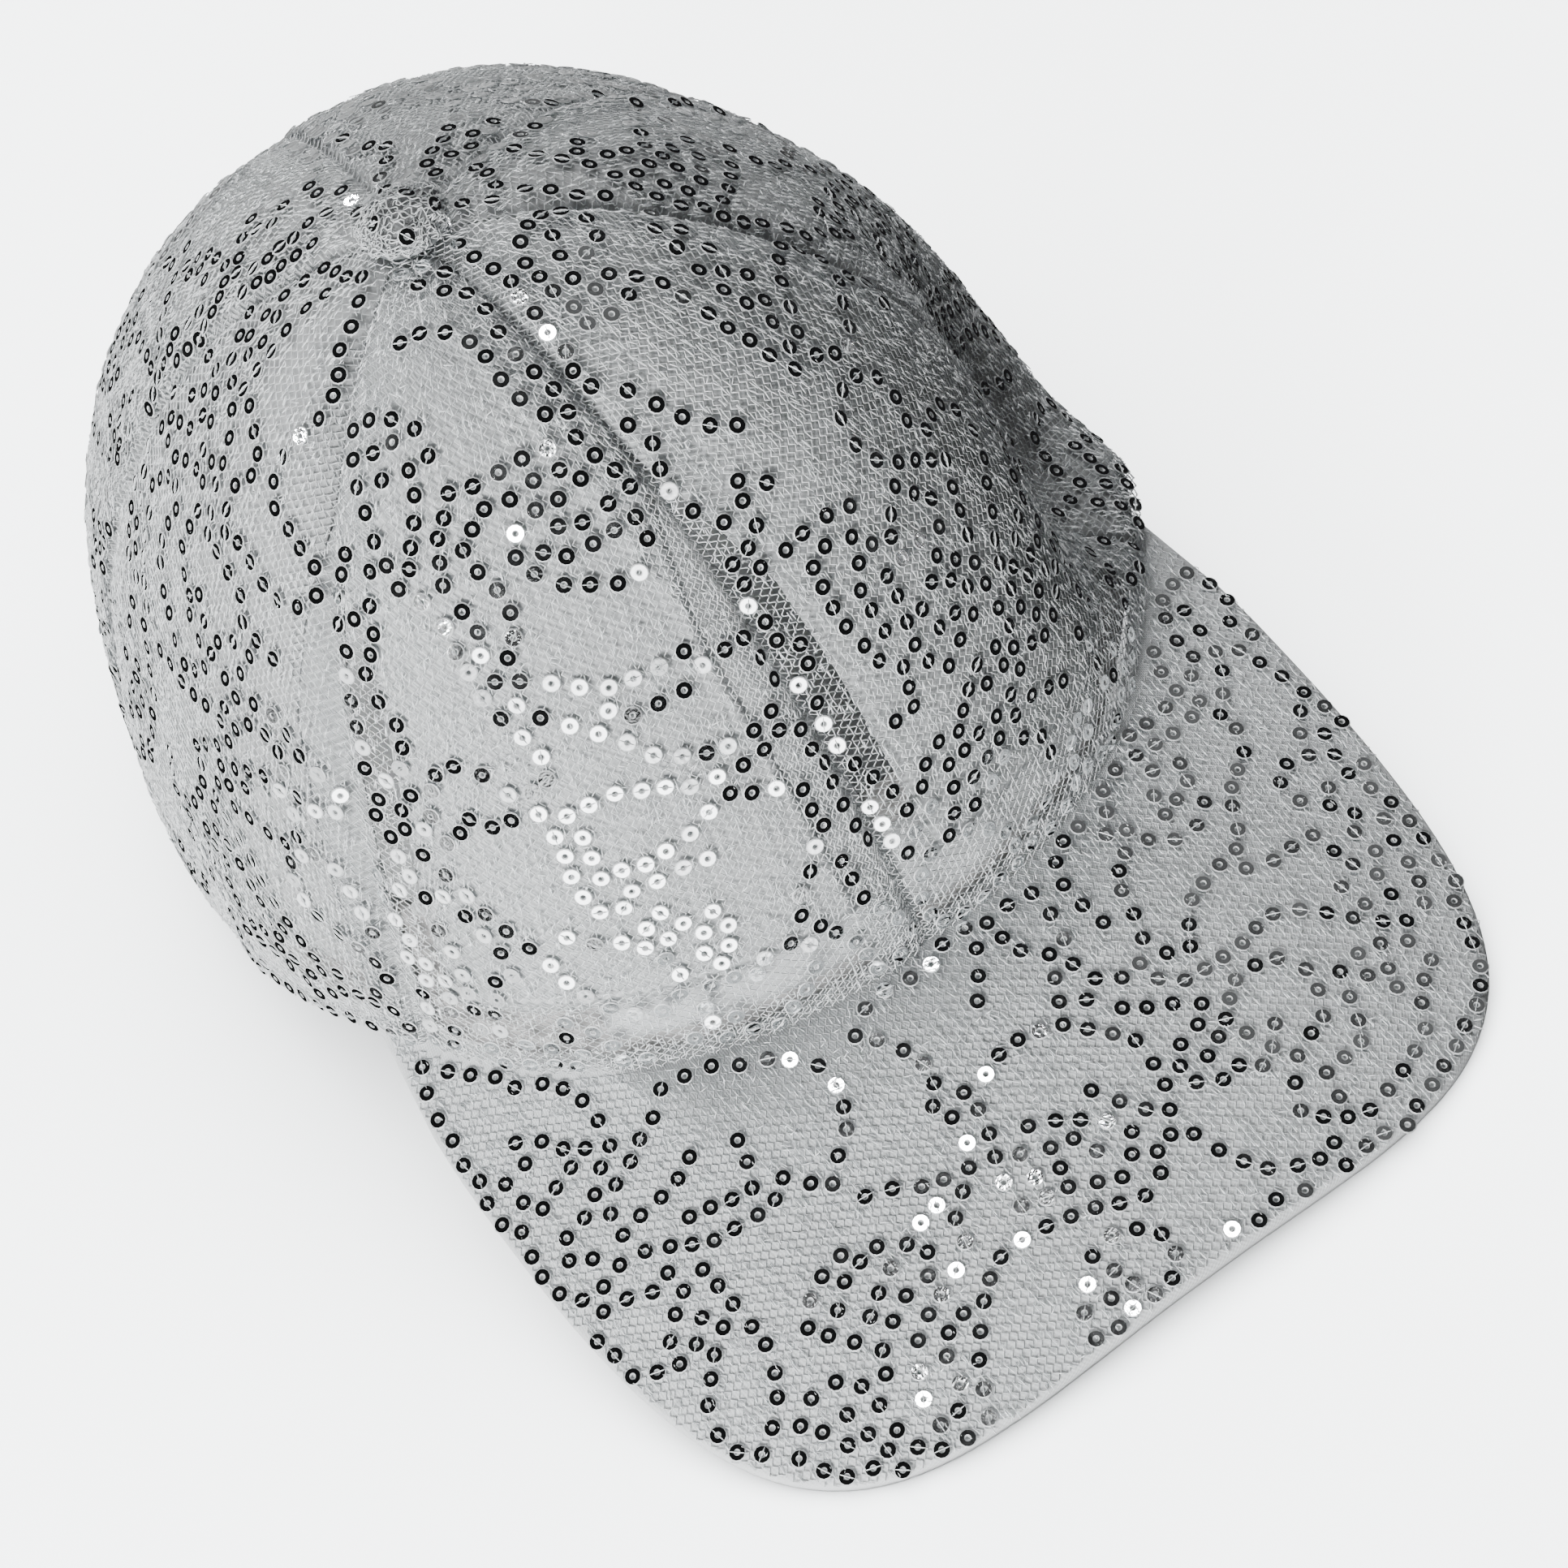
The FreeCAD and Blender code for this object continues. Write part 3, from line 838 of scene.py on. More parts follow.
def zigzags(width, height, shift=0.0, open_mesh=True):
    """Flat zigzag lines: arrays of x and y, one row for each yarn.

    Open mesh is drawn six-sided.  Net that lies on white cloth needs only two points a row."""
    count = int(width / WALE) + 2
    repeats = int(height / COURSE) + 2
    phase = np.array([0.0, 0.24, 0.5, 0.74] if open_mesh else [0.12, 0.62])
    side = np.array([-1.0, -1.0, 1.0, 1.0] if open_mesh else [-1.0, 1.0])
    y = (np.arange(repeats)[:, None] + phase[None]).ravel() * COURSE + shift
    swing = np.tile(side, repeats) * SWING
    sign = np.where(np.arange(count) % 2 == 0, 1.0, -1.0)
    x = (np.arange(count) - count / 2)[:, None] * WALE + sign[:, None] * swing[None]
    return x + shift, np.repeat(y[None], count, 0)


def lines_object(name, points, keep):
    """A mesh of lines, points[line, station], with edges only where both ends are kept."""
    rows, count = keep.shape
    index = np.full((rows, count), -1)
    index[keep] = np.arange(int(keep.sum()))
    joined = keep[:, :-1] & keep[:, 1:]
    edges = np.stack([index[:, :-1][joined], index[:, 1:][joined]], -1)
    return add_object(name, points[keep], [], None, edges.tolist())


def panel_net(panel):
    """The panel's net: open parts, backed parts, and a second layer where it is folded under."""
    layers = []
    for layer, (shift, depth) in enumerate(((0.0, 0.1), (0.0, 0.1), (0.55, 0.5))):
        x, y = zigzags(panel.width, panel.height, shift, open_mesh=layer == 0)
        angle, rise = panel.place(x, y)
        radius = np.interp(y, panel.heights, panel.radii)
        from_seam, to_seam = (angle - panel.start) * radius, (panel.end - angle) * radius
        folded = ((to_seam < SEAM_FOLD) & (y < panel.height - BARE_TOP)) | (y < HEM_FOLD)
        see_through = (from_seam < OPEN_BY_SEAM) | (y < OPEN_BY_HEM)
        keep = panel.inside(x, y, -0.45, 0.3) & (see_through, ~see_through, folded)[layer]
        wobble = 0.07 * ripple(np.stack([x, y, 0 * x], -1), 3.1, 5 + layer)
        layers.append(lines_object("lines", crown(angle, rise, depth + wobble), keep))
    return layers


def yarn_object(sources, name, radius, sides=3):
    """Grow net yarn on meshes of lines and join the results."""
    parts = [grown(source, YARN, {"Yarn Radius": radius * MM, "Sides": sides,
                                  "Finish": net_yarn}, name) for source in sources]
    return joined(parts, name)


def joined(parts, name):
    """Join finished objects into the first, as one mesh."""
    bpy.ops.object.select_all(action="DESELECT")
    for part in parts:
        part.select_set(True)
    bpy.context.view_layer.objects.active = parts[0]
    if len(parts) > 1:
        bpy.ops.object.join()
    parts[0].name = name
    return parts[0]


for name, panel in panels.items():
    net = yarn_object(panel_net(panel), "net_" + name, YARN_RADIUS)
    dress(net, "cap", "sequin_net", "panel_" + name)
    print(net.name, len(net.data.polygons), "faces")

# %% [markdown]
# ## Sequins on wandering lines
#
# The embroidery machine sews each sequin down as it wanders over the cloth without crossing its
# own track.  The same walk is made here on the flat pattern: a step of about one sequin, a gentle
# change of heading, and a new start wherever a bare patch is left.


# %% The wandering walk
SWERVES = (0.0, 0.45, -0.45, 0.9, -0.9, 1.4, -1.4, 2.0, -2.0)
PATIENCE = 160  # misses in a row before the cloth counts as full


def wander(inside, extent, seed, step=3.8, near=3.9, bare=7.2):
    """Flat places of sequins and the direction the thread runs at each, in millimetres."""
    rng = np.random.default_rng(seed)
    (x0, x1), (y0, y1) = extent
    found = np.empty((0, 2))
    heads = []
    misses = 0

    def free(spot, gap):
        if not bool(inside(np.array(spot[0]), np.array(spot[1]))):
            return False
        if len(found) == 0:
            return True
        return np.hypot(*(found - spot).T).min() > gap

    while misses < PATIENCE:
        spot = np.array([rng.uniform(x0, x1), rng.uniform(y0, y1)])
        if not free(spot, bare):
            misses += 1
            continue
        misses = 0
        heading, bend = rng.uniform(0, TAU), 0.0
        while spot is not None:
            found = np.vstack([found, spot])
            heads.append(heading)
            bend = 0.75 * bend + rng.normal(0, 0.30)
            length = step * rng.uniform(0.86, 1.18)
            following = None
            for swerve in SWERVES:
                way = heading + bend + swerve
                trial = spot + length * np.array([math.cos(way), math.sin(way)])
                if free(trial, near * (0.78 if abs(swerve) > 1 else 0.86)):
                    following, heading = trial, way
                    break
            spot = following
    return found, np.array(heads)


print("a walk tries", len(SWERVES), "turns before it stops")


# %% Sequins on points
def points_object(name, points, facing, along):
    """A mesh of bare points that carry the two directions the placing tree reads."""
    thing = add_object(name, points, [], None)
    for label, values in (("facing", facing), ("along", along)):
        layer = thing.data.attributes.new(label, "FLOAT_VECTOR", "POINT")
        layer.data.foreach_set("vector", np.asarray(values, float).ravel())
    return thing


THREAD_SHARE = 0.42  # sequins whose thread shows across the hole


def sequin_object(name, points, facing, along, seed, askew=0.11):
    """Sequins and their sewing thread on given points."""
    parts = []
    for shape, finish, chance in ((mirror_ring, mirror_film, 1.0), (edge_ring, pressed_edge_painted_reflection, 1.0),
                                  (thread_bar, sewing_thread, THREAD_SHARE)):
        source = points_object(name, points, facing, along)
        parts.append(grown(source, PLACING, {
            "Shape": shape, "Askew": askew, "Seed": seed, "Chance": chance,
            "Finish": finish}, name, soft_edges=False))
    return joined(parts, name)


def surface_frame(angle, rise, depth, heading, step=0.01):
    """Points, outward directions and a heading turned into space, on the crown."""
    points = crown(angle, rise, depth)
    facing = normals_of(visible_crown, angle, rise)
    east = crown(angle + step, rise, depth) - points
    east /= np.linalg.norm(east, axis=-1, keepdims=True)
    north = np.cross(facing, east)
    along = east * np.cos(heading)[:, None] + north * np.sin(heading)[:, None]
    return points, facing, along


print("thread shows on", THREAD_SHARE, "of the sequins")

# %% Sequins on the panels
FROM_SEAM, FROM_OPENING = 1.3, 6.4
PROUD = 0.12  # sequins sit this far above the cloth
WALK_SEED = 100

sequin_count = 0
for seed, (name, panel) in enumerate(panels.items()):
    half = panel.width / 2
    flat, heading = wander(lambda x, y: panel.inside(x, y, FROM_SEAM, FROM_OPENING),
                           ((-half, half), (0, panel.height)), WALK_SEED + seed)
    angle, rise = panel.place(flat[:, 0], flat[:, 1])
    points, facing, along = surface_frame(angle, rise, -PROUD, heading)
    sequins = sequin_object("sequins_" + name, points, facing, along, seed)
    dress(sequins, "cap", "sequin_net")
    sequin_count += len(points)
    print(sequins.name, len(points), "sequins", len(sequins.data.polygons), "faces")

# %% [markdown]
# ## Bright metal thread
#
# A thin metal thread runs loosely through the net and shows as short bright ticks.  They lie more
# or less along the knitting, so each tick follows the panel's own direction with some scatter.


# %% Ticks of tinsel
LOOSE_SHARE, LOOSE_SCATTER, NEAT_SCATTER = 0.18, 1.2, 0.12
TICK_SEED = 200


def tinsel_object(name, place, inside, extent, per_square, seed):
    """Ticks scattered over a flat pattern, about per_square of them in each square millimetre."""
    rng = np.random.default_rng(seed)
    (x0, x1), (y0, y1) = extent
    count = int((x1 - x0) * (y1 - y0) * per_square)
    x, y = rng.uniform(x0, x1, count), rng.uniform(y0, y1, count)
    x = (np.round(x / WALE) + rng.normal(0, 0.13, count)) * WALE
    keep = inside(x, y)
    x, y = x[keep], y[keep]
    loose = rng.random(len(x)) < LOOSE_SHARE
    scatter = np.where(loose, LOOSE_SCATTER, NEAT_SCATTER)
    heading = math.pi / 2 + rng.normal(0, 1.0, len(x)) * scatter
    points, facing, along = place(x, y, heading)
    source = points_object(name, points, facing, along)
    return grown(source, PLACING, {"Shape": tinsel_bar, "Askew": 0.3, "Seed": seed,
                                   "Chance": 1.0, "Finish": tinsel}, name)


for seed, (name, panel) in enumerate(panels.items()):
    half = panel.width / 2

    def on_panel(x, y, heading):
        angle, rise = panel.place(x, y)
        return surface_frame(angle, rise, -0.02, heading)

    ticks = tinsel_object("tinsel_" + name, on_panel, lambda x, y: panel.inside(x, y, 0.5, 5.2),
                          ((-half, half), (0, panel.height)), 0.55, TICK_SEED + seed)
    dress(ticks, "cap", "sequin_net")
    print(ticks.name, len(ticks.data.polygons), "faces")

# %% [markdown]
# ## Backing, buckram and tapes
#
# Under the net each panel has a white backing, given a grey tone as painted shade for the shade the
# net casts into its gaps.  The two in front are stiff buckram, and like the
# right side's lining they stop short of the hem and, low down, of the front seams, so bare net
# shows there.  The linings of the pushed-in left side and of the back reach down to the hem.
# Tapes lie beside the seams over the folded net.  The backings are sheets held stretched on the
# net, so they take their shape from the crown's own surface and need no simulation.


# %% Backings
BACKING_HEM, LOW_HEM, INNER_TOP = 14.0, 1.0, 0.075
BARE_WIDE, BARE_NARROW, BARE_TIGHT = 7.0, 0.5, 0.35
BACKING_OUTER, BACKING_INNER = 0.75, 1.25
OPENING_MARGIN = 6.0


def crown_radius(angle, rise):
    """Distance from the crown's own axis."""
    points = plain_crown(angle, rise)
    return np.hypot(points[..., 0] - LEAN_X, points[..., 1] - LEAN_Y - MIDDLE_Y)


def bare_net(seam, v, lined_low):
    """Width of net with no backing beside a seam: wide only low down by the front seams."""
    wide = BARE_WIDE if math.cos(seam) > 0.5 and not lined_low else BARE_NARROW
    return BARE_TIGHT + (wide - BARE_TIGHT) * (1 - smooth((v - 0.36) / 0.30))


def backing_object(name, panel, low, finish):
    """A panel's backing, from a height above the hem up to the button."""
    def place(u, v, deep):
        """The sheet's point at shares u across and v up, a depth under the net."""
        plain = panel.start + (panel.end - panel.start) * (u + 0 * v)
        bottom = rise_at_level(plain, hem_level(plain) + low)
        rise = bottom + (rise_at_radius(plain, INNER_TOP) - bottom) * v
        radius = crown_radius(plain, rise)
        first, last = (bare_net(seam, v, low < BACKING_HEM) / radius
                       for seam in (panel.start, panel.end))
        angle = panel.start + first + (2 * panel.half - first - last) * (u + 0 * v)
        return crown(angle, rise, deep)

    return loft(name, sheet_sections(place, BACKING_OUTER, BACKING_INNER, 41, 61), finish)


def cloth_area(thing):
    """The area of one face of a thin sheet, in square metres."""
    return sum(polygon.area for polygon in thing.data.polygons) / 2


def carve_opening(thing, grow):
    """Slide the part of a sheet that would cross the back opening up to the opening's edge."""
    numbers = np.empty(len(thing.data.vertices) * 3)
    thing.data.vertices.foreach_get("co", numbers)
    points = numbers.reshape(-1, 3) / MM
    lift = np.where(in_opening(points, grow), opening_top(points[:, 0], grow) - points[:, 2], 0.0)
    points[:, 2] += lift
    points[:, 1] -= rise_pull(points, lift)
    thing.data.vertices.foreach_set("co", (points * MM).ravel())
    thing.data.update()


def rise_pull(points, lift):
    """How far a point moves in when it slides up the back of the crown by a lift."""
    angle = np.full(len(points), math.pi)
    before = plain_crown(angle, rise_at_level(angle, points[:, 2] - lift))[:, 1]
    after = plain_crown(angle, rise_at_level(angle, points[:, 2]))[:, 1]
    return before - after


for name, panel in panels.items():
    is_front, is_back = name.startswith("front"), name.startswith("back")
    node = ("buckram_" if is_front else "lining_") + name
    low = BACKING_HEM if is_front or name == "side_right" else LOW_HEM
    sheet = backing_object(node + "_cloth", panel, low,
                           buckram_painted_shade if is_front else white_felt_painted_shade)
    if is_back:
        carve_opening(sheet, OPENING_MARGIN)
    dress(sheet, "cap", "stiff_buckram" if is_front else "white_backing", node)
    "net_" + name
    print(sheet.name, len(sheet.data.polygons), "faces,", round(cloth_area(sheet), 5), "m2")


# %% Seam tapes
TAPE_START, TAPE_END, TAPE_OUTER, TAPE_INNER = -8.0, 1.0, 1.45, 1.95
TAPE_HEM_GAP, TAPE_OPENING_GAP = 2.0, 5.0


def strip_beside_seam(name, seam, low_level, start, end, outer, inner, finish):
    """A strip along a seam, between two distances beside it."""
    seam = math.radians(seam)

    def place(u, v, deep):
        bottom = rise_at_level(seam, low_level)
        rise = bottom + (rise_at_radius(seam, INNER_TOP) - bottom) * u + 0 * v
        across = start + (end - start) * v
        angle = seam + across / crown_radius(np.full(rise.shape, seam), rise)
        return crown(angle, rise, deep)

    return loft(name, sheet_sections(place, outer, inner, 90, 7), finish)


tape_seams = {"front": 0.0, "front_left": FRONT_SEAM, "back_left": BACK_SEAM, "back": 180.0,
              "back_right": 360 - BACK_SEAM, "front_right": 360 - FRONT_SEAM}
for name, seam in tape_seams.items():
    low = float(hem_level(math.radians(seam))) + TAPE_HEM_GAP
    if name == "back":
        low = OPENING_TOP + TAPE_OPENING_GAP
    tape = strip_beside_seam("seam_tape_" + name + "_cloth", seam, low, TAPE_START, TAPE_END,
                             TAPE_OUTER, TAPE_INNER, cotton_tape)
    dress(tape, "cap", "white_tape", "seam_tape_" + name)
print("tapes", len(tape_seams))

# %% [markdown]
# ## The brim
#
# The brim is a curved board in a cloth cover that turns round its edge, with net and sequins over
# the top.  The covers are lofted as one outline carried round the brim's edge, so the edge is a
# soft roll and not a cut.


# %% The brim's edges
def brim_edges(count=121):
    """Matching points along the brim's outer edge and along the crown, in plan."""
    a = np.linspace(-math.pi / 2, math.pi / 2, count)
    nose = -FRONT - BRIM_LENGTH
    x = BRIM_HALF * np.sign(a) * np.abs(np.sin(a)) ** (2 / BRIM_CORNER)
    y = END_Y - (END_Y - nose) * np.abs(np.cos(a)) ** (2 / BRIM_CORNER)
    forward = END_Y - y
    tuck = (1 - END_X / BRIM_HALF) * np.exp(-(forward / BRIM_EASE) ** 2)
    x = x * (1 + BRIM_FLARE * forward / 100 - tuck)
    outer = even_spacing(np.stack([x, y], -1), count)
    along = np.radians(np.linspace(-BRIM_END, BRIM_END, count))
    bx, by = base_point(along)
    inner = even_spacing(np.stack([bx, by], -1), count)
    return outer, inner


def even_spacing(points, count):
    """The same line with its points an equal way apart."""
    steps = np.linalg.norm(np.diff(points, axis=0), axis=1)
    length = np.concatenate([[0.0], np.cumsum(steps)])
    wanted = np.linspace(0, length[-1], count)
    return np.stack([np.interp(wanted, length, points[:, k]) for k in range(2)], -1)


BRIM_OUTER, BRIM_INNER = brim_edges()
CROWN_END = 1000.0  # stands for "at the crown" in the covers' outlines
COVER_OUTER, COVER_INNER = 0.2, 0.8
UNDER_OUTER, UNDER_INNER = 3.15, 2.5


def brim_relief(x, y):
    """Gentle waves in the cloth over the board."""
    spot = np.stack([x, y, 0 * x], -1)
    return 0.22 * ripple(spot, 46.0, 21) + 0.08 * ripple(spot, 15.0, 22)


def brim_point(x, y, depth):
    """A point a given depth under the brim's upper face."""
    normal = np.stack([2 * BRIM_ARCH * x / BRIM_ARCH_AT ** 2, -BRIM_SLOPE + 0 * x, 1 + 0 * x], -1)
    normal /= np.linalg.norm(normal, axis=-1, keepdims=True)
    top = np.stack([x, y + MIDDLE_Y, brim_level(x, y) + brim_relief(x, y)], -1)
    return top - normal * np.asarray(depth)[..., None]


def brim_sections(outline):
    """Closed outlines round the brim; outline holds (distance from the edge, depth) points."""
    rows = []
    for outer, inner in zip(BRIM_OUTER, BRIM_INNER):
        span = inner - outer
        reach = np.linalg.norm(span)
        way = span / reach
        distance = np.minimum([d for d, _ in outline], reach + BRIM_FLANGE)
        depth = np.array([depth for _, depth in outline])
        spot = outer + distance[:, None] * way
        rows.append(brim_point(spot[:, 0], spot[:, 1], depth))
    return rows


print("brim", 2 * BRIM_HALF, "mm wide,", BRIM_LENGTH, "mm long")

# %% The brim's covers
roll = [(1.1 - 1.1 * math.sin(a), 1.35 - 1.15 * math.cos(a))
        for a in np.linspace(0, math.pi / 2, 6)]
stations = [48.0, 40.0, 33.0, 27.0, 21.0, 16.0, 11.0, 7.0, 4.0, 2.2]
top_outline = ([(CROWN_END, COVER_OUTER)] + [(d, COVER_OUTER) for d in stations] + roll
               + [(0.0, 2.3), (0.6, 2.3), (0.6, 1.5), (1.5, COVER_INNER)]
               + [(d, COVER_INNER) for d in reversed(stations)] + [(CROWN_END, COVER_INNER)])
brim_top = loft("brim_upper_cloth", brim_sections(top_outline), brim_cloth)
dress(brim_top, "cap", "sequin_net", "brim_cover_top")
under_roll = [(0.9 - 0.9 * math.cos(a), 2.45 + 0.7 * math.sin(a))
              for a in np.linspace(0, math.pi / 2, 5)]
under_outline = (under_roll + [(d, UNDER_OUTER) for d in reversed(stations)]
                 + [(CROWN_END, UNDER_OUTER), (CROWN_END, UNDER_INNER)]
                 + [(d, UNDER_INNER) for d in stations])
brim_under = loft("brim_under_cloth", brim_sections(under_outline), lining_cloth)
dress(brim_under, "cap", "brim_lining", "brim_cover_bottom")
print("brim cloth", len(brim_top.data.polygons), len(brim_under.data.polygons), "faces")


# %% The brim's net, sequins and tinsel
def brim_inside(x, y, margin=0.0):
    """Whether a plan point is on the brim and clear of its edges and of the crown."""
    x, y = np.asarray(x, float), np.asarray(y, float)
    angle = np.arctan2(x, -y)
    bx, by = base_point(angle)
    out = np.hypot(x, y) > np.hypot(bx, by) + margin
    nose = -FRONT - BRIM_LENGTH
    forward = np.clip(END_Y - y, 0.0, None)
    scale = 1 + BRIM_FLARE * forward / 100
    part = np.clip(forward / (END_Y - nose), 0.0, 1.0) ** BRIM_CORNER
    half = BRIM_HALF * scale * (1 - part) ** (1 / BRIM_CORNER)
    half = half - (BRIM_HALF - END_X) * np.exp(-(forward / BRIM_EASE) ** 2)
    return out & (np.abs(x) < half - margin) & (y < END_Y) & (y > nose + margin)


BRIM_WIDE, BRIM_YARN = BRIM_HALF + 4.0, 0.10
brim_extent = ((-BRIM_WIDE, BRIM_WIDE), (-FRONT - BRIM_LENGTH, END_Y))
x, y = zigzags(2 * BRIM_WIDE, BRIM_LENGTH + 60.0, open_mesh=False)
y = y - FRONT - BRIM_LENGTH
wobble = 0.05 * ripple(np.stack([x, y, 0 * x], -1), 3.1, 31)
lines = lines_object("lines", brim_point(x, y, 0.02 + wobble), brim_inside(x, y, 0.25))
brim_net = yarn_object([lines], "net_brim", BRIM_YARN)
dress(brim_net, "cap", "sequin_net")


def brim_frame(x, y, heading, depth=-0.1, step=0.05):
    """Points, upward directions and headings on the brim."""
    points = brim_point(x, y, depth + 0 * x)
    east = brim_point(x + step, y, depth + 0 * x) - points
    north = brim_point(x, y + step, depth + 0 * x) - points
    facing = np.cross(east, north)
    facing /= np.linalg.norm(facing, axis=-1, keepdims=True)
    along = (east * np.cos(heading)[:, None] + north * np.sin(heading)[:, None]) / step
    return points, facing, along


flat, heading = wander(lambda x, y: brim_inside(x, y, 1.3), brim_extent, 140)
sequins = sequin_object("sequins_brim", *brim_frame(flat[:, 0], flat[:, 1], heading), 9, 0.07)
dress(sequins, "cap", "sequin_net")
sequin_count += len(flat)
ticks = tinsel_object("tinsel_brim", brim_frame, lambda x, y: brim_inside(x, y, 0.8),
                      brim_extent, 0.45, 240)
dress(ticks, "cap", "sequin_net")
print("brim net", len(brim_net.data.polygons), "faces;", len(flat), "sequins;",
      sequin_count, "in all")

# %% [markdown]
# ## The button
#
# The button is a metal cap with a disc of the same net gathered over it, so its folds run to the
# middle underneath and crowd at the rim.  One function gives the gathered surface.  The cloth
# ground, near black as painted shade for the shade seen through the gathered net, two crumpled
# layers of net and five sequins all follow it.

# %% Button
seat_low, seat_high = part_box("button_cover")
BUTTON_X = (seat_low[0] + seat_high[0]) / 2 / MM
BUTTON_Y = (seat_low[1] + seat_high[1]) / 2 / MM
BUTTON_Z, BUTTON_TOP = seat_low[2] / MM, seat_high[2] / MM
BUTTON_RADIUS = (seat_high[0] - seat_low[0]) / 2 / MM
TUCK_UNDER, DOME_RISE, DOME_MIDDLE, PLEATS = 0.62, 0.62, 0.36, 17
BUTTON_YARN, NET_REACH = 0.13, 10.5  # the net reaches this far from the top to its edge below


def button_point(turn, part, out=0.0):
    """A point on the gathered cover; part runs from 0 in the middle of the top to 1 below."""
    swing = part * math.pi * TUCK_UNDER
    pleat = 0.35 * np.sin(PLEATS * turn + 3 * np.sin(turn)) * smooth((part - 0.35) / 0.4)
    radius = (BUTTON_RADIUS - 0.3 + pleat + out) * np.sin(np.minimum(swing, math.pi / 2 + 0.25))
    height = (BUTTON_TOP - BUTTON_Z) * DOME_RISE
    middle = BUTTON_Z + (BUTTON_TOP - BUTTON_Z) * DOME_MIDDLE
    z = middle + (height + out) * np.cos(swing)
    lump = 0.18 * ripple(np.stack([radius * np.cos(turn), radius * np.sin(turn), z], -1), 4.0, 7)
    return np.stack([BUTTON_X + (radius + lump) * np.cos(turn),
                     BUTTON_Y + (radius + lump) * np.sin(turn), z + lump + 0 * turn], -1)


part = np.linspace(0.02, 1.0, 20)
turns = np.arange(120) * TAU / 120
outside = np.stack([button_point(t + 0 * part, part) for t in turns])
inside_face = np.stack([button_point(t + 0 * part[::-1], part[::-1], -0.5) for t in turns])
button_cloth = loft("button_cover_cloth", np.concatenate([outside, inside_face], 1),
                    button_ground_painted_shade, closed_path=True)
dress(button_cloth, "cap", "button_net", "button_cover")
strands = []
for layer, lean in enumerate((0.3, 1.2)):
    x, y = zigzags(24.0, 24.0)
    spot = np.stack([x, y, 0 * x], -1)
    x = x + 0.7 * ripple(spot, 5.0, 42 + layer)
    y = y - 12.0 + 0.7 * ripple(spot, 5.0, 44 + layer)
    reach, turn = np.hypot(x, y), np.arctan2(y, x) + lean
    pucker = 0.34 - 0.16 * layer + 0.36 * ripple(spot, 2.0, 40 + layer)
    spot = button_point(turn, reach / NET_REACH, pucker)
    strands.append(lines_object("lines", spot, reach < NET_REACH - 0.2))
button_net = yarn_object(strands, "net_button", BUTTON_YARN)
dress(button_net, "cap", "button_net")
spots = np.array([(0.3, 2.0), (1.9, 4.6), (3.3, 3.4), (4.4, 5.4), (5.6, 4.9)])
turn, part = spots[:, 0], spots[:, 1] / NET_REACH
points = button_point(turn, part, 0.7)
facing = button_point(turn, part, 1.7) - points
sequins = sequin_object("sequins_button", points, facing, np.roll(facing, 1, 1), 19, 0.25)
dress(sequins, "cap", "button_net")
print("button", len(button_cloth.data.polygons), len(button_net.data.polygons), "faces")

# %% [markdown]
# ## Sweatband, pad and binding
#
# Inside, a twill band is sewn round the hem, with a thin pad behind it at the forehead, and a
# binding covers the cut edge of the back opening.  Each is held by rows of stitches.  A row is a
# line of points with the directions it faces, and the placing tree sets one small bar of thread
# after another along it.


# %% Rows of stitches
def stitch_rows(name, rows, spacing=2.8):
    """Stitches along lines; each row is a line of points and the directions they face."""
    spots, facing, along = [], [], []
    for line, out in rows:
        length = np.concatenate([[0.0], np.cumsum(np.linalg.norm(np.diff(line, axis=0), axis=1))])
        wanted = np.arange(spacing / 2, length[-1] - spacing / 2, spacing)
        here, ahead, away = (
            np.stack([np.interp(at, length, values[:, k]) for k in range(3)], -1)
            for at, values in ((wanted, line), (wanted + 0.4, line), (wanted, out)))
        spots.append(here)
        facing.append(away)
        along.append(ahead - here)
    source = points_object(name, np.concatenate(spots), np.concatenate(facing),
                           np.concatenate(along))
    return grown(source, PLACING, {"Shape": stitch_bar, "Askew": 0.04, "Seed": 5, "Chance": 1.0,
                                   "Finish": sewing_thread}, name)


def wall_row(angle, z, depth, inward=False):
    """A line on the crown's wall and the directions it faces."""
    rise = rise_at_level(angle, z)
    out = plain_normal(angle, rise)
    return crown(angle, rise, depth), -out if inward else out


print("each stitch has", len(stitch_bar.data.polygons), "faces")


# %% Bands round the hem
def hem_floor(angle):
    """The hem's height, but never below the ground."""
    return 2.0 * np.log(1 + np.exp(hem_level(angle) / 2.0))


def band_sections(start, end, low, high, outer, inner, columns, rows=11):
    """Outlines of a strip along the hem between two levels, which take an angle."""
    def place(u, v, deep):
        angle = math.radians(start) + math.radians(end - start) * (u + 0 * v)
        z = low(angle) + (high(angle) - low(angle)) * v
        return crown(angle, rise_at_level(angle, z), deep(angle) if callable(deep) else deep)

    return sheet_sections(place, outer, inner, columns, rows)


SWEAT_END, SWEAT_LOW, SWEAT_HIGH, SWEAT_OUTER, SWEAT_INNER = 146.5, 0.8, 29.0, 3.3, 4.2
PAD_END, PAD_LOW, PAD_HIGH, PAD_OUTER, PAD_INNER = 34, 5.0, 22.0, 2.35, 3.15
sweat = loft("sweatband_cloth", band_sections(
    -SWEAT_END, SWEAT_END, lambda a: hem_floor(a) + SWEAT_LOW, lambda a: hem_floor(a) + SWEAT_HIGH,
    SWEAT_OUTER, SWEAT_INNER, 200), cotton_twill)
dress(sweat, "cap", "sweatband_cloth", "sweatband")
pad = loft("sweatband_pad_cloth", band_sections(
    -PAD_END, PAD_END, lambda a: hem_floor(a) + PAD_LOW, lambda a: hem_floor(a) + PAD_HIGH,
    PAD_OUTER, PAD_INNER, 60), foam_cloth)
dress(pad, "cap", "pad_foam", "sweatband_front_pad")
around = np.radians(np.linspace(-SWEAT_END + 1, SWEAT_END - 1, 400))
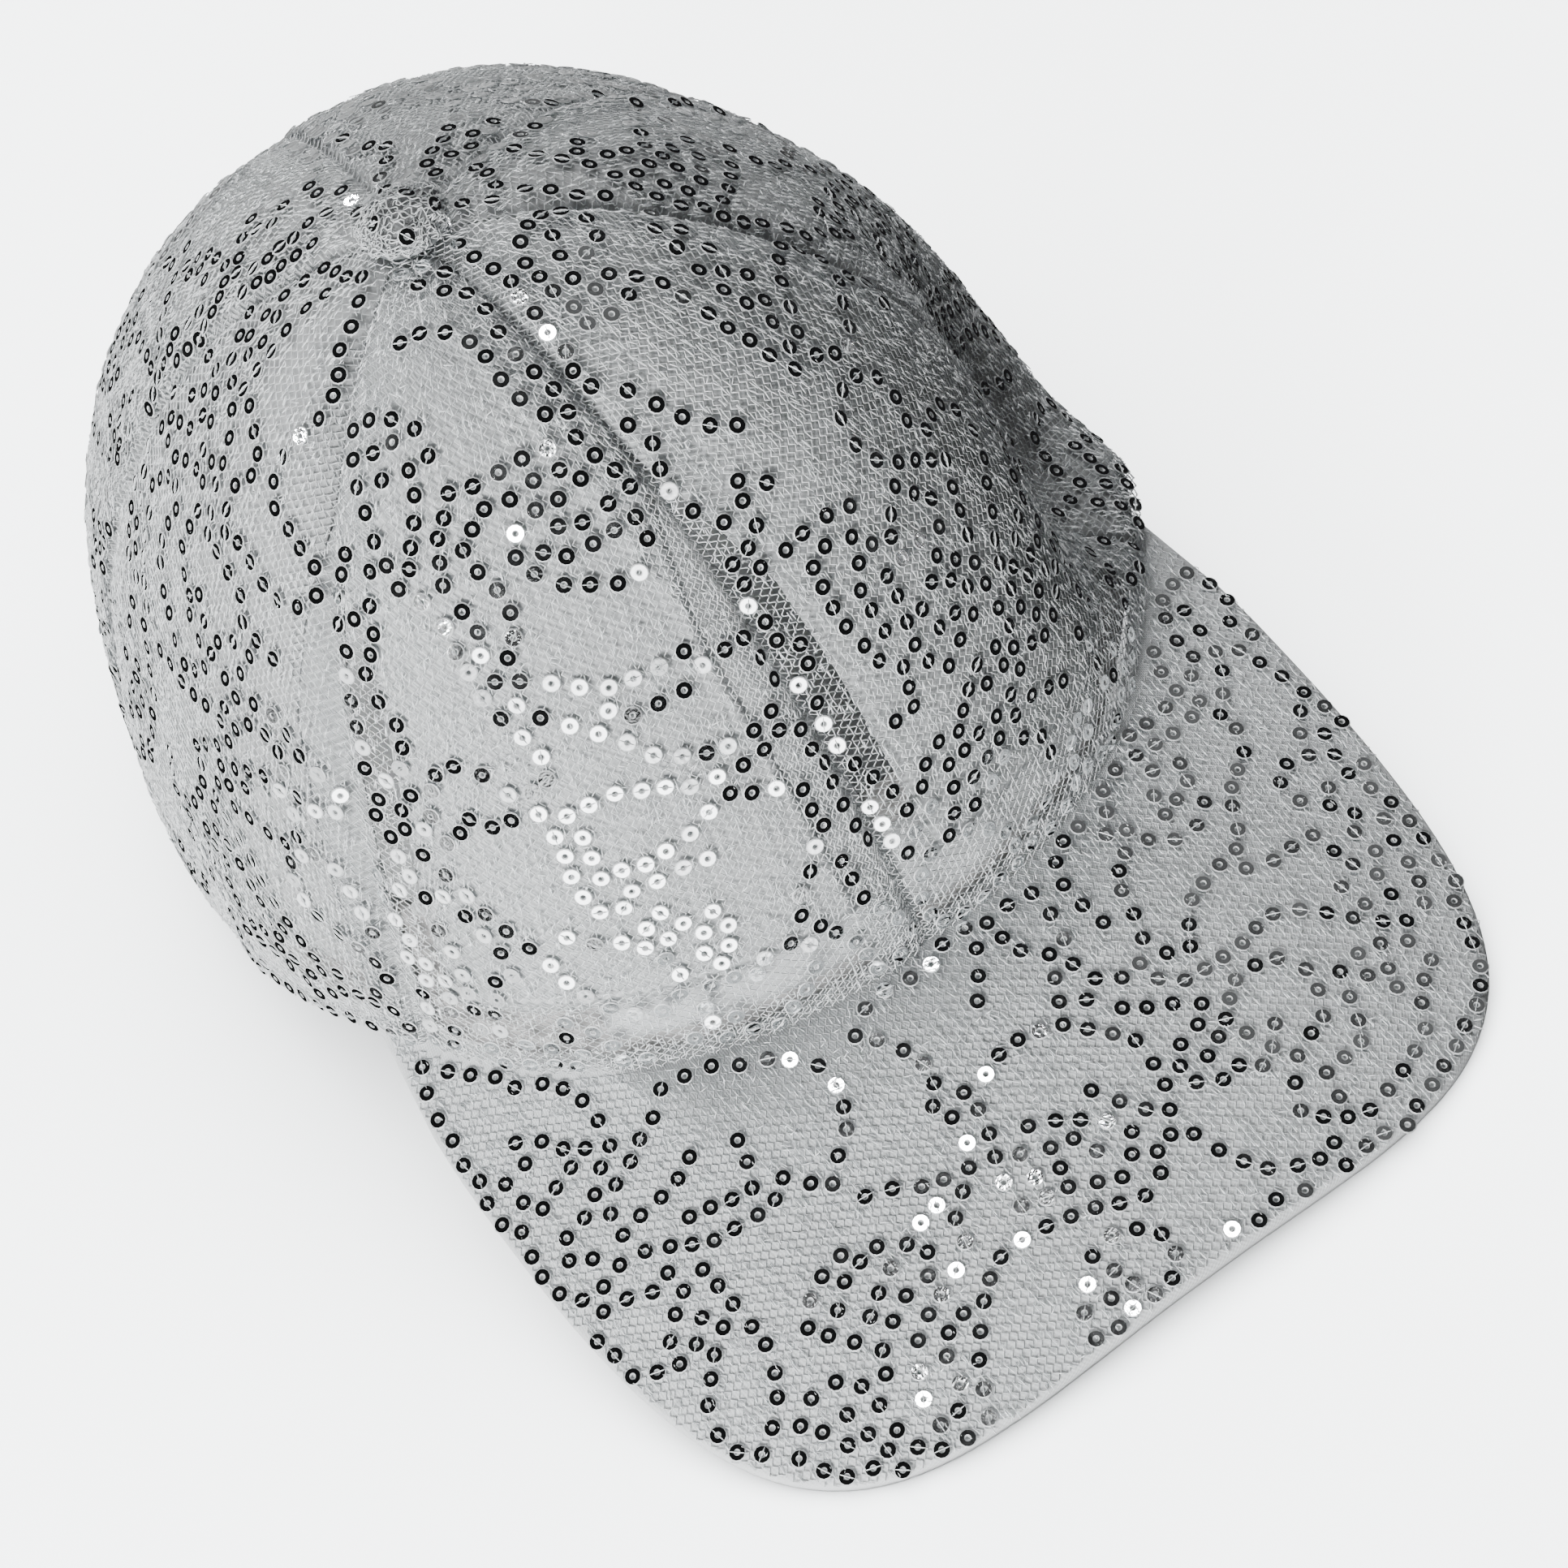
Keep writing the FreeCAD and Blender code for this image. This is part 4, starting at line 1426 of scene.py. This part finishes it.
band_stitches = stitch_rows("sweatband_stitches", [
    wall_row(around, hem_floor(around) + level, SWEAT_INNER, inward=True)
    for level in (3.0, 27.0)])
dress(band_stitches, "cap", "sweatband_cloth")


def arch_line(grow):
    """The opening's edge in x and z, up one side from the hem, over, and down the other."""
    half, rise = OPENING_HALF + grow, OPENING_TOP - OPENING_SIDE + grow
    turn = np.linspace(0, math.pi, 61)
    leg = np.linspace(1.2, OPENING_SIDE, 12)
    x = np.concatenate([np.full(12, half), half * np.cos(turn), np.full(12, -half)])
    z = np.concatenate([leg, OPENING_SIDE + 1.0 + (rise - 1.0) * np.sin(turn), leg[::-1]])
    return x, z


def on_back(x, z, depth):
    """A point on the crown's back wall over x at a height, found by turning until x fits."""
    low, high = np.full(x.shape, math.radians(110)), np.full(x.shape, math.radians(250))
    for _ in range(40):
        middle = (low + high) / 2
        over = plain_crown(middle, rise_at_level(middle, z))[..., 0] > x
        low, high = np.where(over, middle, low), np.where(over, high, middle)
    return crown((low + high) / 2, rise_at_level((low + high) / 2, z), depth)


# The fold's outline as (distance outside the opening's edge, depth under the net) pairs.
FOLD = ((4.6, -0.42), (2.4, -0.62), (0.4, -0.60), (-0.4, -0.30), (-0.6, 0.40), (-0.4, 1.00),
        (0.4, 1.34), (3.0, 1.36), (5.8, 1.36), (5.8, 0.96), (3.0, 0.94), (0.4, 0.90),
        (-0.1, 0.62), (-0.15, 0.30), (0.0, 0.0), (0.4, -0.18), (2.4, -0.22), (4.6, -0.22))
binding = loft("opening_binding_tape", np.stack(
    [on_back(*arch_line(grow), depth) for grow, depth in FOLD], 1), cotton_tape)
dress(binding, "cap", "white_tape", "opening_binding")
stitch_x, stitch_z = arch_line(3.2)
edge_line = on_back(stitch_x, stitch_z, -0.62)
edge_out = edge_line - on_back(stitch_x, stitch_z, 0.0)
edge_stitches = stitch_rows("binding_stitches", [(edge_line, edge_out)])
dress(edge_stitches, "cap", "white_tape")
print("sweatband", len(sweat.data.polygons), "faces; binding", len(binding.data.polygons))

# %% [markdown]
# ## The closure
#
# Two cloth tabs cross the back opening.  The outer one carries hook tape and the inner one loop
# tape.  Each is sewn behind its panel and bends at that edge, and its mesh and its stitching run
# on past that edge in one piece.  The hooks and loops are short bars set at a small pitch
# by the placing tree.

# %% Tabs
TAB_LOW, TAB_HIGH, TAB_THICK, TAB_DEPTH, TAB_CORNER = 2.0, 24.0, 1.2, 1.4, 5.5
BACK_RADIUS = 100.0  # the crown's back wall, near enough, to turn millimetres into angles
HINGE, REACH, ROOT = 23.5, 15.0, 8.0
PATCH, PATCH_GAP = 0.7, 0.3
STEP_IN = TAB_THICK + 2 * PATCH + PATCH_GAP + 0.1


def outer_depth(angle):
    """How deep the outer tab lies: the same all along."""
    return TAB_DEPTH + 0 * angle


def inner_depth(angle):
    """How deep the inner tab lies: it steps in to pass behind the outer one."""
    past = 180 + HINGE - np.degrees(angle)
    return TAB_DEPTH + STEP_IN * smooth(past / (HINGE - REACH - 1.0))


def tab_object(name, root, tip, depth_at):
    """A folded cloth tab with a rounded free end."""
    columns, rows = 90, 13
    sections = []
    arc = abs(math.radians(tip - root)) * BACK_RADIUS
    for value in np.linspace(0, 1, columns):
        angle = math.radians(root + (tip - root) * value)
        short = max(TAB_CORNER - arc * (1 - value), 0.0)
        squeeze = TAB_CORNER - math.sqrt(max(TAB_CORNER ** 2 - short ** 2, 0.0))
        z = np.linspace(TAB_LOW + squeeze, TAB_HIGH - squeeze, rows)
        side = np.abs(np.linspace(-1, 1, rows)) ** 6
        middle = depth_at(np.array(angle)) + TAB_THICK / 2
        half = TAB_THICK / 2 * (1 - 0.45 * side)
        angles = np.full(rows, angle)
        rise = rise_at_level(angles, z)
        front = plain_crown(angles, rise) - plain_normal(angles, rise) * (middle - half)[:, None]
        back = plain_crown(angles, rise) - plain_normal(angles, rise) * (middle + half)[:, None]
        sections.append(np.concatenate([front, back[::-1]]))
    return loft(name, sections, tab_cloth)


def patch_object(name, start, end, depth, finish):
    """A thin patch of hook or loop tape on the back wall, between two angles."""
    angles = np.radians(np.linspace(start, end, 40))[:, None]
    z = np.linspace(TAB_LOW + 3.0, TAB_HIGH - 3.0, 9)[None, :] + 0 * angles
    angles = angles + 0 * z
    rise = rise_at_level(angles, z)
    normal = plain_normal(angles, rise)
    front = plain_crown(angles, rise) - normal * depth
    back = plain_crown(angles, rise) - normal * (depth + PATCH)
    return loft(name, np.concatenate([front, back[:, ::-1]], 1), finish)


print("the tabs overlap by", 2 * REACH, "degrees")


# %% Stitches, hooks and loops
def tab_row(root, tip, depth_at, inset=2.4):
    """The line of stitching just inside a tab's edge, and the directions it faces."""
    end = tip - math.copysign(math.degrees(inset / BACK_RADIUS), tip - root)
    along = np.radians(np.linspace(root, end, 80))
    across = np.linspace(TAB_HIGH - inset, TAB_LOW + inset, 20)
    angle = np.concatenate([along, np.full(20, along[-1]), along[::-1]])
    z = np.concatenate([np.full(80, across[0]), across, np.full(80, across[-1])])
    rise = rise_at_level(angle, z)
    out = plain_normal(angle, rise)
    return plain_crown(angle, rise) - out * (depth_at(angle) + 0.04)[:, None], out


def box_row(start, end):
    """A sewn box with a cross in it, on the panel over a tab's root."""
    low, high = TAB_LOW + 2.5, TAB_HIGH - 1.5
    walk = np.linspace(0, 5, 160)
    angle = np.interp(walk, range(6), (start, start, end, end, start, end))
    z = np.interp(walk, range(6), (low, high, high, low, low, high))
    return wall_row(np.radians(angle), z, -0.12)


def pile(name, start, end, depth, pitch, sway, askew, finish):
    """Hooks or loops: short bars standing on a patch, at an even pitch with some sway."""
    rng = np.random.default_rng(17)
    turns = np.radians(np.arange(start + 0.5, end - 0.5, math.degrees(pitch / BACK_RADIUS)))
    angle, z = np.meshgrid(turns, np.arange(TAB_LOW + 3.5, TAB_HIGH - 3.3, pitch))
    angle = angle.ravel() + rng.normal(0, sway * pitch / BACK_RADIUS, angle.size)
    z = z.ravel() + rng.normal(0, sway * pitch, z.size)
    rise = rise_at_level(angle, z)
    out = plain_normal(angle, rise)
    source = points_object(name, plain_crown(angle, rise) - out * depth, np.roll(out, 1, 1), out)
    return grown(source, PLACING, {"Shape": hook_bar, "Askew": askew, "Seed": 6, "Chance": 1.0,
                                   "Finish": finish}, name)


print("each hook or loop has", len(hook_bar.data.polygons), "faces")

# %% The closure put together
LEFT, RIGHT = 180 - HINGE, 180 + HINGE
for name, root, tip, depth_at, joint in (
        ("outer_tab", LEFT - ROOT, 180 + REACH, outer_depth, "outer_tab_peel"),
        ("inner_tab", RIGHT + ROOT, 180 - REACH, inner_depth, "inner_tab_fold")):
    tab = tab_object(name + "_cloth", root, tip, depth_at)
    stitches = stitch_rows(name + "_stitches", [tab_row(root, tip, depth_at)])
    for piece in (tab, stitches):
        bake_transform(piece)
    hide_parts(name, name + "_root")
boxes = stitch_rows("closure_box_stitches", [box_row(LEFT - ROOT + 0.8, LEFT - 3.2),
                                             box_row(RIGHT + ROOT - 0.8, RIGHT + 3.2)])
dress(boxes, "cap", "tab_webbing")
hook_depth = TAB_DEPTH + TAB_THICK + 0.05
loop_depth = TAB_DEPTH + STEP_IN - PATCH - 0.05
hook = patch_object("hook_tape_patch", 180 - REACH + 4, 180 + REACH - 3, hook_depth, hook_nylon)
dress(hook, "outer_tab", "hook_tape", "hook_patch")
hooks = pile("hooks", 180 - REACH + 4, 180 + REACH - 3, hook_depth + PATCH + 0.05, 1.2, 0.03,
             0.25, hook_nylon)
dress(hooks, "outer_tab", "hook_tape")
loop = patch_object("loop_tape_patch", 180 - REACH + 3, 180 + REACH - 1, loop_depth, loop_nylon)
dress(loop, "inner_tab", "loop_tape", "loop_patch")
loops = pile("loops", 180 - REACH + 3, 180 + REACH - 1, loop_depth - 0.02, 0.8, 0.35, 1.2,
             loop_nylon)
dress(loops, "inner_tab", "loop_tape")
print("closure", len(hooks.data.polygons), len(loops.data.polygons), "faces of hooks and loops")

# %% [markdown]
# ## Pieces kept from the frame
#
# The board, the button's metal and the washer have the right shape already, so they only get
# better finishes.

# %% Finishes on kept pieces
for node, finish in (("brim_core", board_plastic), ("button_shell", button_metal),
                     ("button_post", button_metal), ("button_washer", button_metal)):
    thing = frame["nodes"][node]
    for slot in thing.material_slots:
        slot.material = finish
    print("refinished", node, "with", finish.name)

# %% [markdown]
# ## Light, floor and camera
#
# Cloth and mirrors want different light, so each lamp serves one of them.  A big soft window low
# on the wearer's right, a fill in front and two lamps behind light the cloth and don't show in the
# sequins.  Two small soft lamps and six tiny sparkles show only in glossy things.  The metal
# thread has three lamps of its own, and so has the floor one, so that it stays pale without
# lighting the cap from below.  Mirror sequins show the room, so the world is planned as well: dim
# all round, with a few bright patches low down.  Most sequins then look like dark rings, and some
# flash white.


# %% Floor
FLOOR_SIZE = 8.0
floor = add_object("floor", np.array([(-1, -1, 0), (1, -1, 0), (1, 1, 0), (-1, 1, 0)]) * FLOOR_SIZE
                   / MM / 2, [(0, 1, 2, 3)], None, shade_smooth=False)


def floor_look(graph, shader):
    """Matt and nearly even."""
    grain = object_noise(graph, 30.0, 3.0)
    link(graph, blend_colour(graph, grain, grey(0.90), grey(0.93)), shader, "Base Color")
    link(graph, (grain * 0.1 + 0.8).clamp(), shader, "Roughness")


floor.data.materials.append(material("pale floor", floor_look))
floor.visible_glossy = False
floor.visible_diffuse = False
floor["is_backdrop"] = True
print("floor", FLOOR_SIZE, "m square")


# %% Lamps
def toward(azimuth, elevation):
    """A direction; azimuth 0 is in front of the brim, turning towards the wearer's left."""
    a, e = math.radians(azimuth), math.radians(elevation)
    return Vector((math.sin(a) * math.cos(e), -math.cos(a) * math.cos(e), math.sin(e)))


def lamp(name, azimuth, elevation, distance, size, power):
    """A round lamp that looks at the cap: two angles, then metres, metres and watts."""
    data = bpy.data.lights.new(name, "AREA")
    data.shape, data.size, data.energy = "DISK", size, power
    thing = bpy.data.objects.new(name, data)
    way = toward(azimuth, elevation)
    thing.location = target + way * distance
    thing.rotation_euler = way.to_track_quat("Z", "Y").to_euler()
    bpy.context.scene.collection.objects.link(thing)
    return thing


target = Vector((-4.8, -64.3 + MIDDLE_Y, 50.0)) * MM
for name, *settings in (("window", -58, 16, 1.5, 0.8, 46.0), ("front fill", -36, 9, 1.5, 0.6, 12.0),
                        ("rear lamp", 176, 40, 1.6, 0.8, 15.0), ("top fill", 150, 46, 1.5, 0.6, 9.0)):
    lamp(name, *settings).visible_glossy = False
for name, *settings in (("soft lamp", -29, 32, 1.3, 0.30, 9.0),
                        ("overhead lamp", 40, 85, 1.5, 0.22, 6.0)):
    lamp(name, *settings).visible_diffuse = False


def lamps_for(name, things, lamps):
    """Lamps, each given as in lamp(), that light only some things."""
    group = bpy.data.collections.new(name)
    for thing in things:
        group.objects.link(thing)
    for settings in lamps:
        special = lamp(name, *settings)
        special.visible_glossy = False
        special.light_linking.receiver_collection = group


lamps_for("floor lamp", [floor], [(0, 90, 3.0, 6.0, 900.0)])
bright_threads = [thing for thing in bpy.data.objects if thing.name.startswith("tinsel_")]
lamps_for("glint lamp", bright_threads, [
    (-30, 35, 1.5, 0.5, 12.0), (80, 30, 1.5, 0.5, 4.0), (175, 45, 1.5, 0.5, 10.0)])
SPARKLE_DISTANCE, SPARKLE_SIZE = 1.4, 0.06
for azimuth, elevation, power in ((-62, 18, 7.0), (55, 6, 1.5), (172, 30, 6.0), (-120, 35, 6.0),
                                  (20, -25, 2.0), (95, 12, 1.5)):
    sparkle = lamp("sparkle", azimuth, elevation, SPARKLE_DISTANCE, SPARKLE_SIZE, power)
    sparkle.visible_diffuse = False

# %% World: pale for the eye, dim for mirrors
world = bpy.data.worlds.new("studio")
bpy.context.scene.world = world
world.use_nodes = True
sky = Graph(world.node_tree)
for node in list(world.node_tree.nodes):
    world.node_tree.nodes.remove(node)
way = sky.add("ShaderNodeTexCoord", output="Generated")


GLOW_EDGE = 12.0  # how sharply a bright patch ends


def glow(azimuth, elevation, spread, level):
    """A soft bright patch of the room in one direction, spread degrees to each side."""
    centre = tuple(toward(azimuth, elevation))
    facing = sky.add("ShaderNodeVectorMath", {"operation": "DOT_PRODUCT"},
                     {0: way, 1: centre}, output="Value")
    return ((facing - math.cos(math.radians(spread))) * GLOW_EDGE).clamp() * level


PALE, DIM, SOFT = 1.3, 0.012, 0.04
mirror_view = glow(-32, -14, 30, 8.0) + glow(-97, -24, 20, 6.0) + glow(160, -15, 22, 0.8)
mirror_view = mirror_view + glow(100, 57, 11, 0.7) + DIM
rays = sky.add("ShaderNodeLightPath")
eye, glossy = rays.output("Is Camera Ray"), rays.output("Is Glossy Ray")
strength = eye * PALE + glossy * mirror_view + (1 - eye) * (1 - glossy) * SOFT
shine = sky.add("ShaderNodeBackground", sockets={"Color": (1.0, 1.0, 1.0, 1.0),
                                                 "Strength": strength})
sky.add("ShaderNodeOutputWorld", sockets={"Surface": shine})
print("world nodes", len(world.node_tree.nodes))

# %% Camera
AZIMUTH, ELEVATION, ROLL, DISTANCE = -16.43, 47.26, -22.5, 0.688
SENSOR, FOCAL = 36.0, 105.0
camera_data = bpy.data.cameras.new("camera")
camera_data.sensor_width, camera_data.lens = SENSOR, FOCAL
camera = bpy.data.objects.new("camera", camera_data)
back = toward(AZIMUTH, ELEVATION)
right = Vector((math.cos(math.radians(AZIMUTH)), math.sin(math.radians(AZIMUTH)), 0.0))
up = back.cross(right)
roll = math.radians(ROLL)
across = right * math.cos(roll) + up * math.sin(roll)
upward = up * math.cos(roll) - right * math.sin(roll)
turned = Matrix((across, upward, back)).transposed().to_4x4()
camera.matrix_world = Matrix.Translation(target + back * DISTANCE) @ turned
bpy.context.scene.collection.objects.link(camera)
bpy.context.scene.camera = camera
print("camera", round(DISTANCE, 3), "m away,", FOCAL, "mm lens")

# %% Tidy away the shapes that were only copied
for shape in small_shapes:
    bpy.data.objects.remove(shape)

# %% Print the object's box
print("visual box", plain_box())
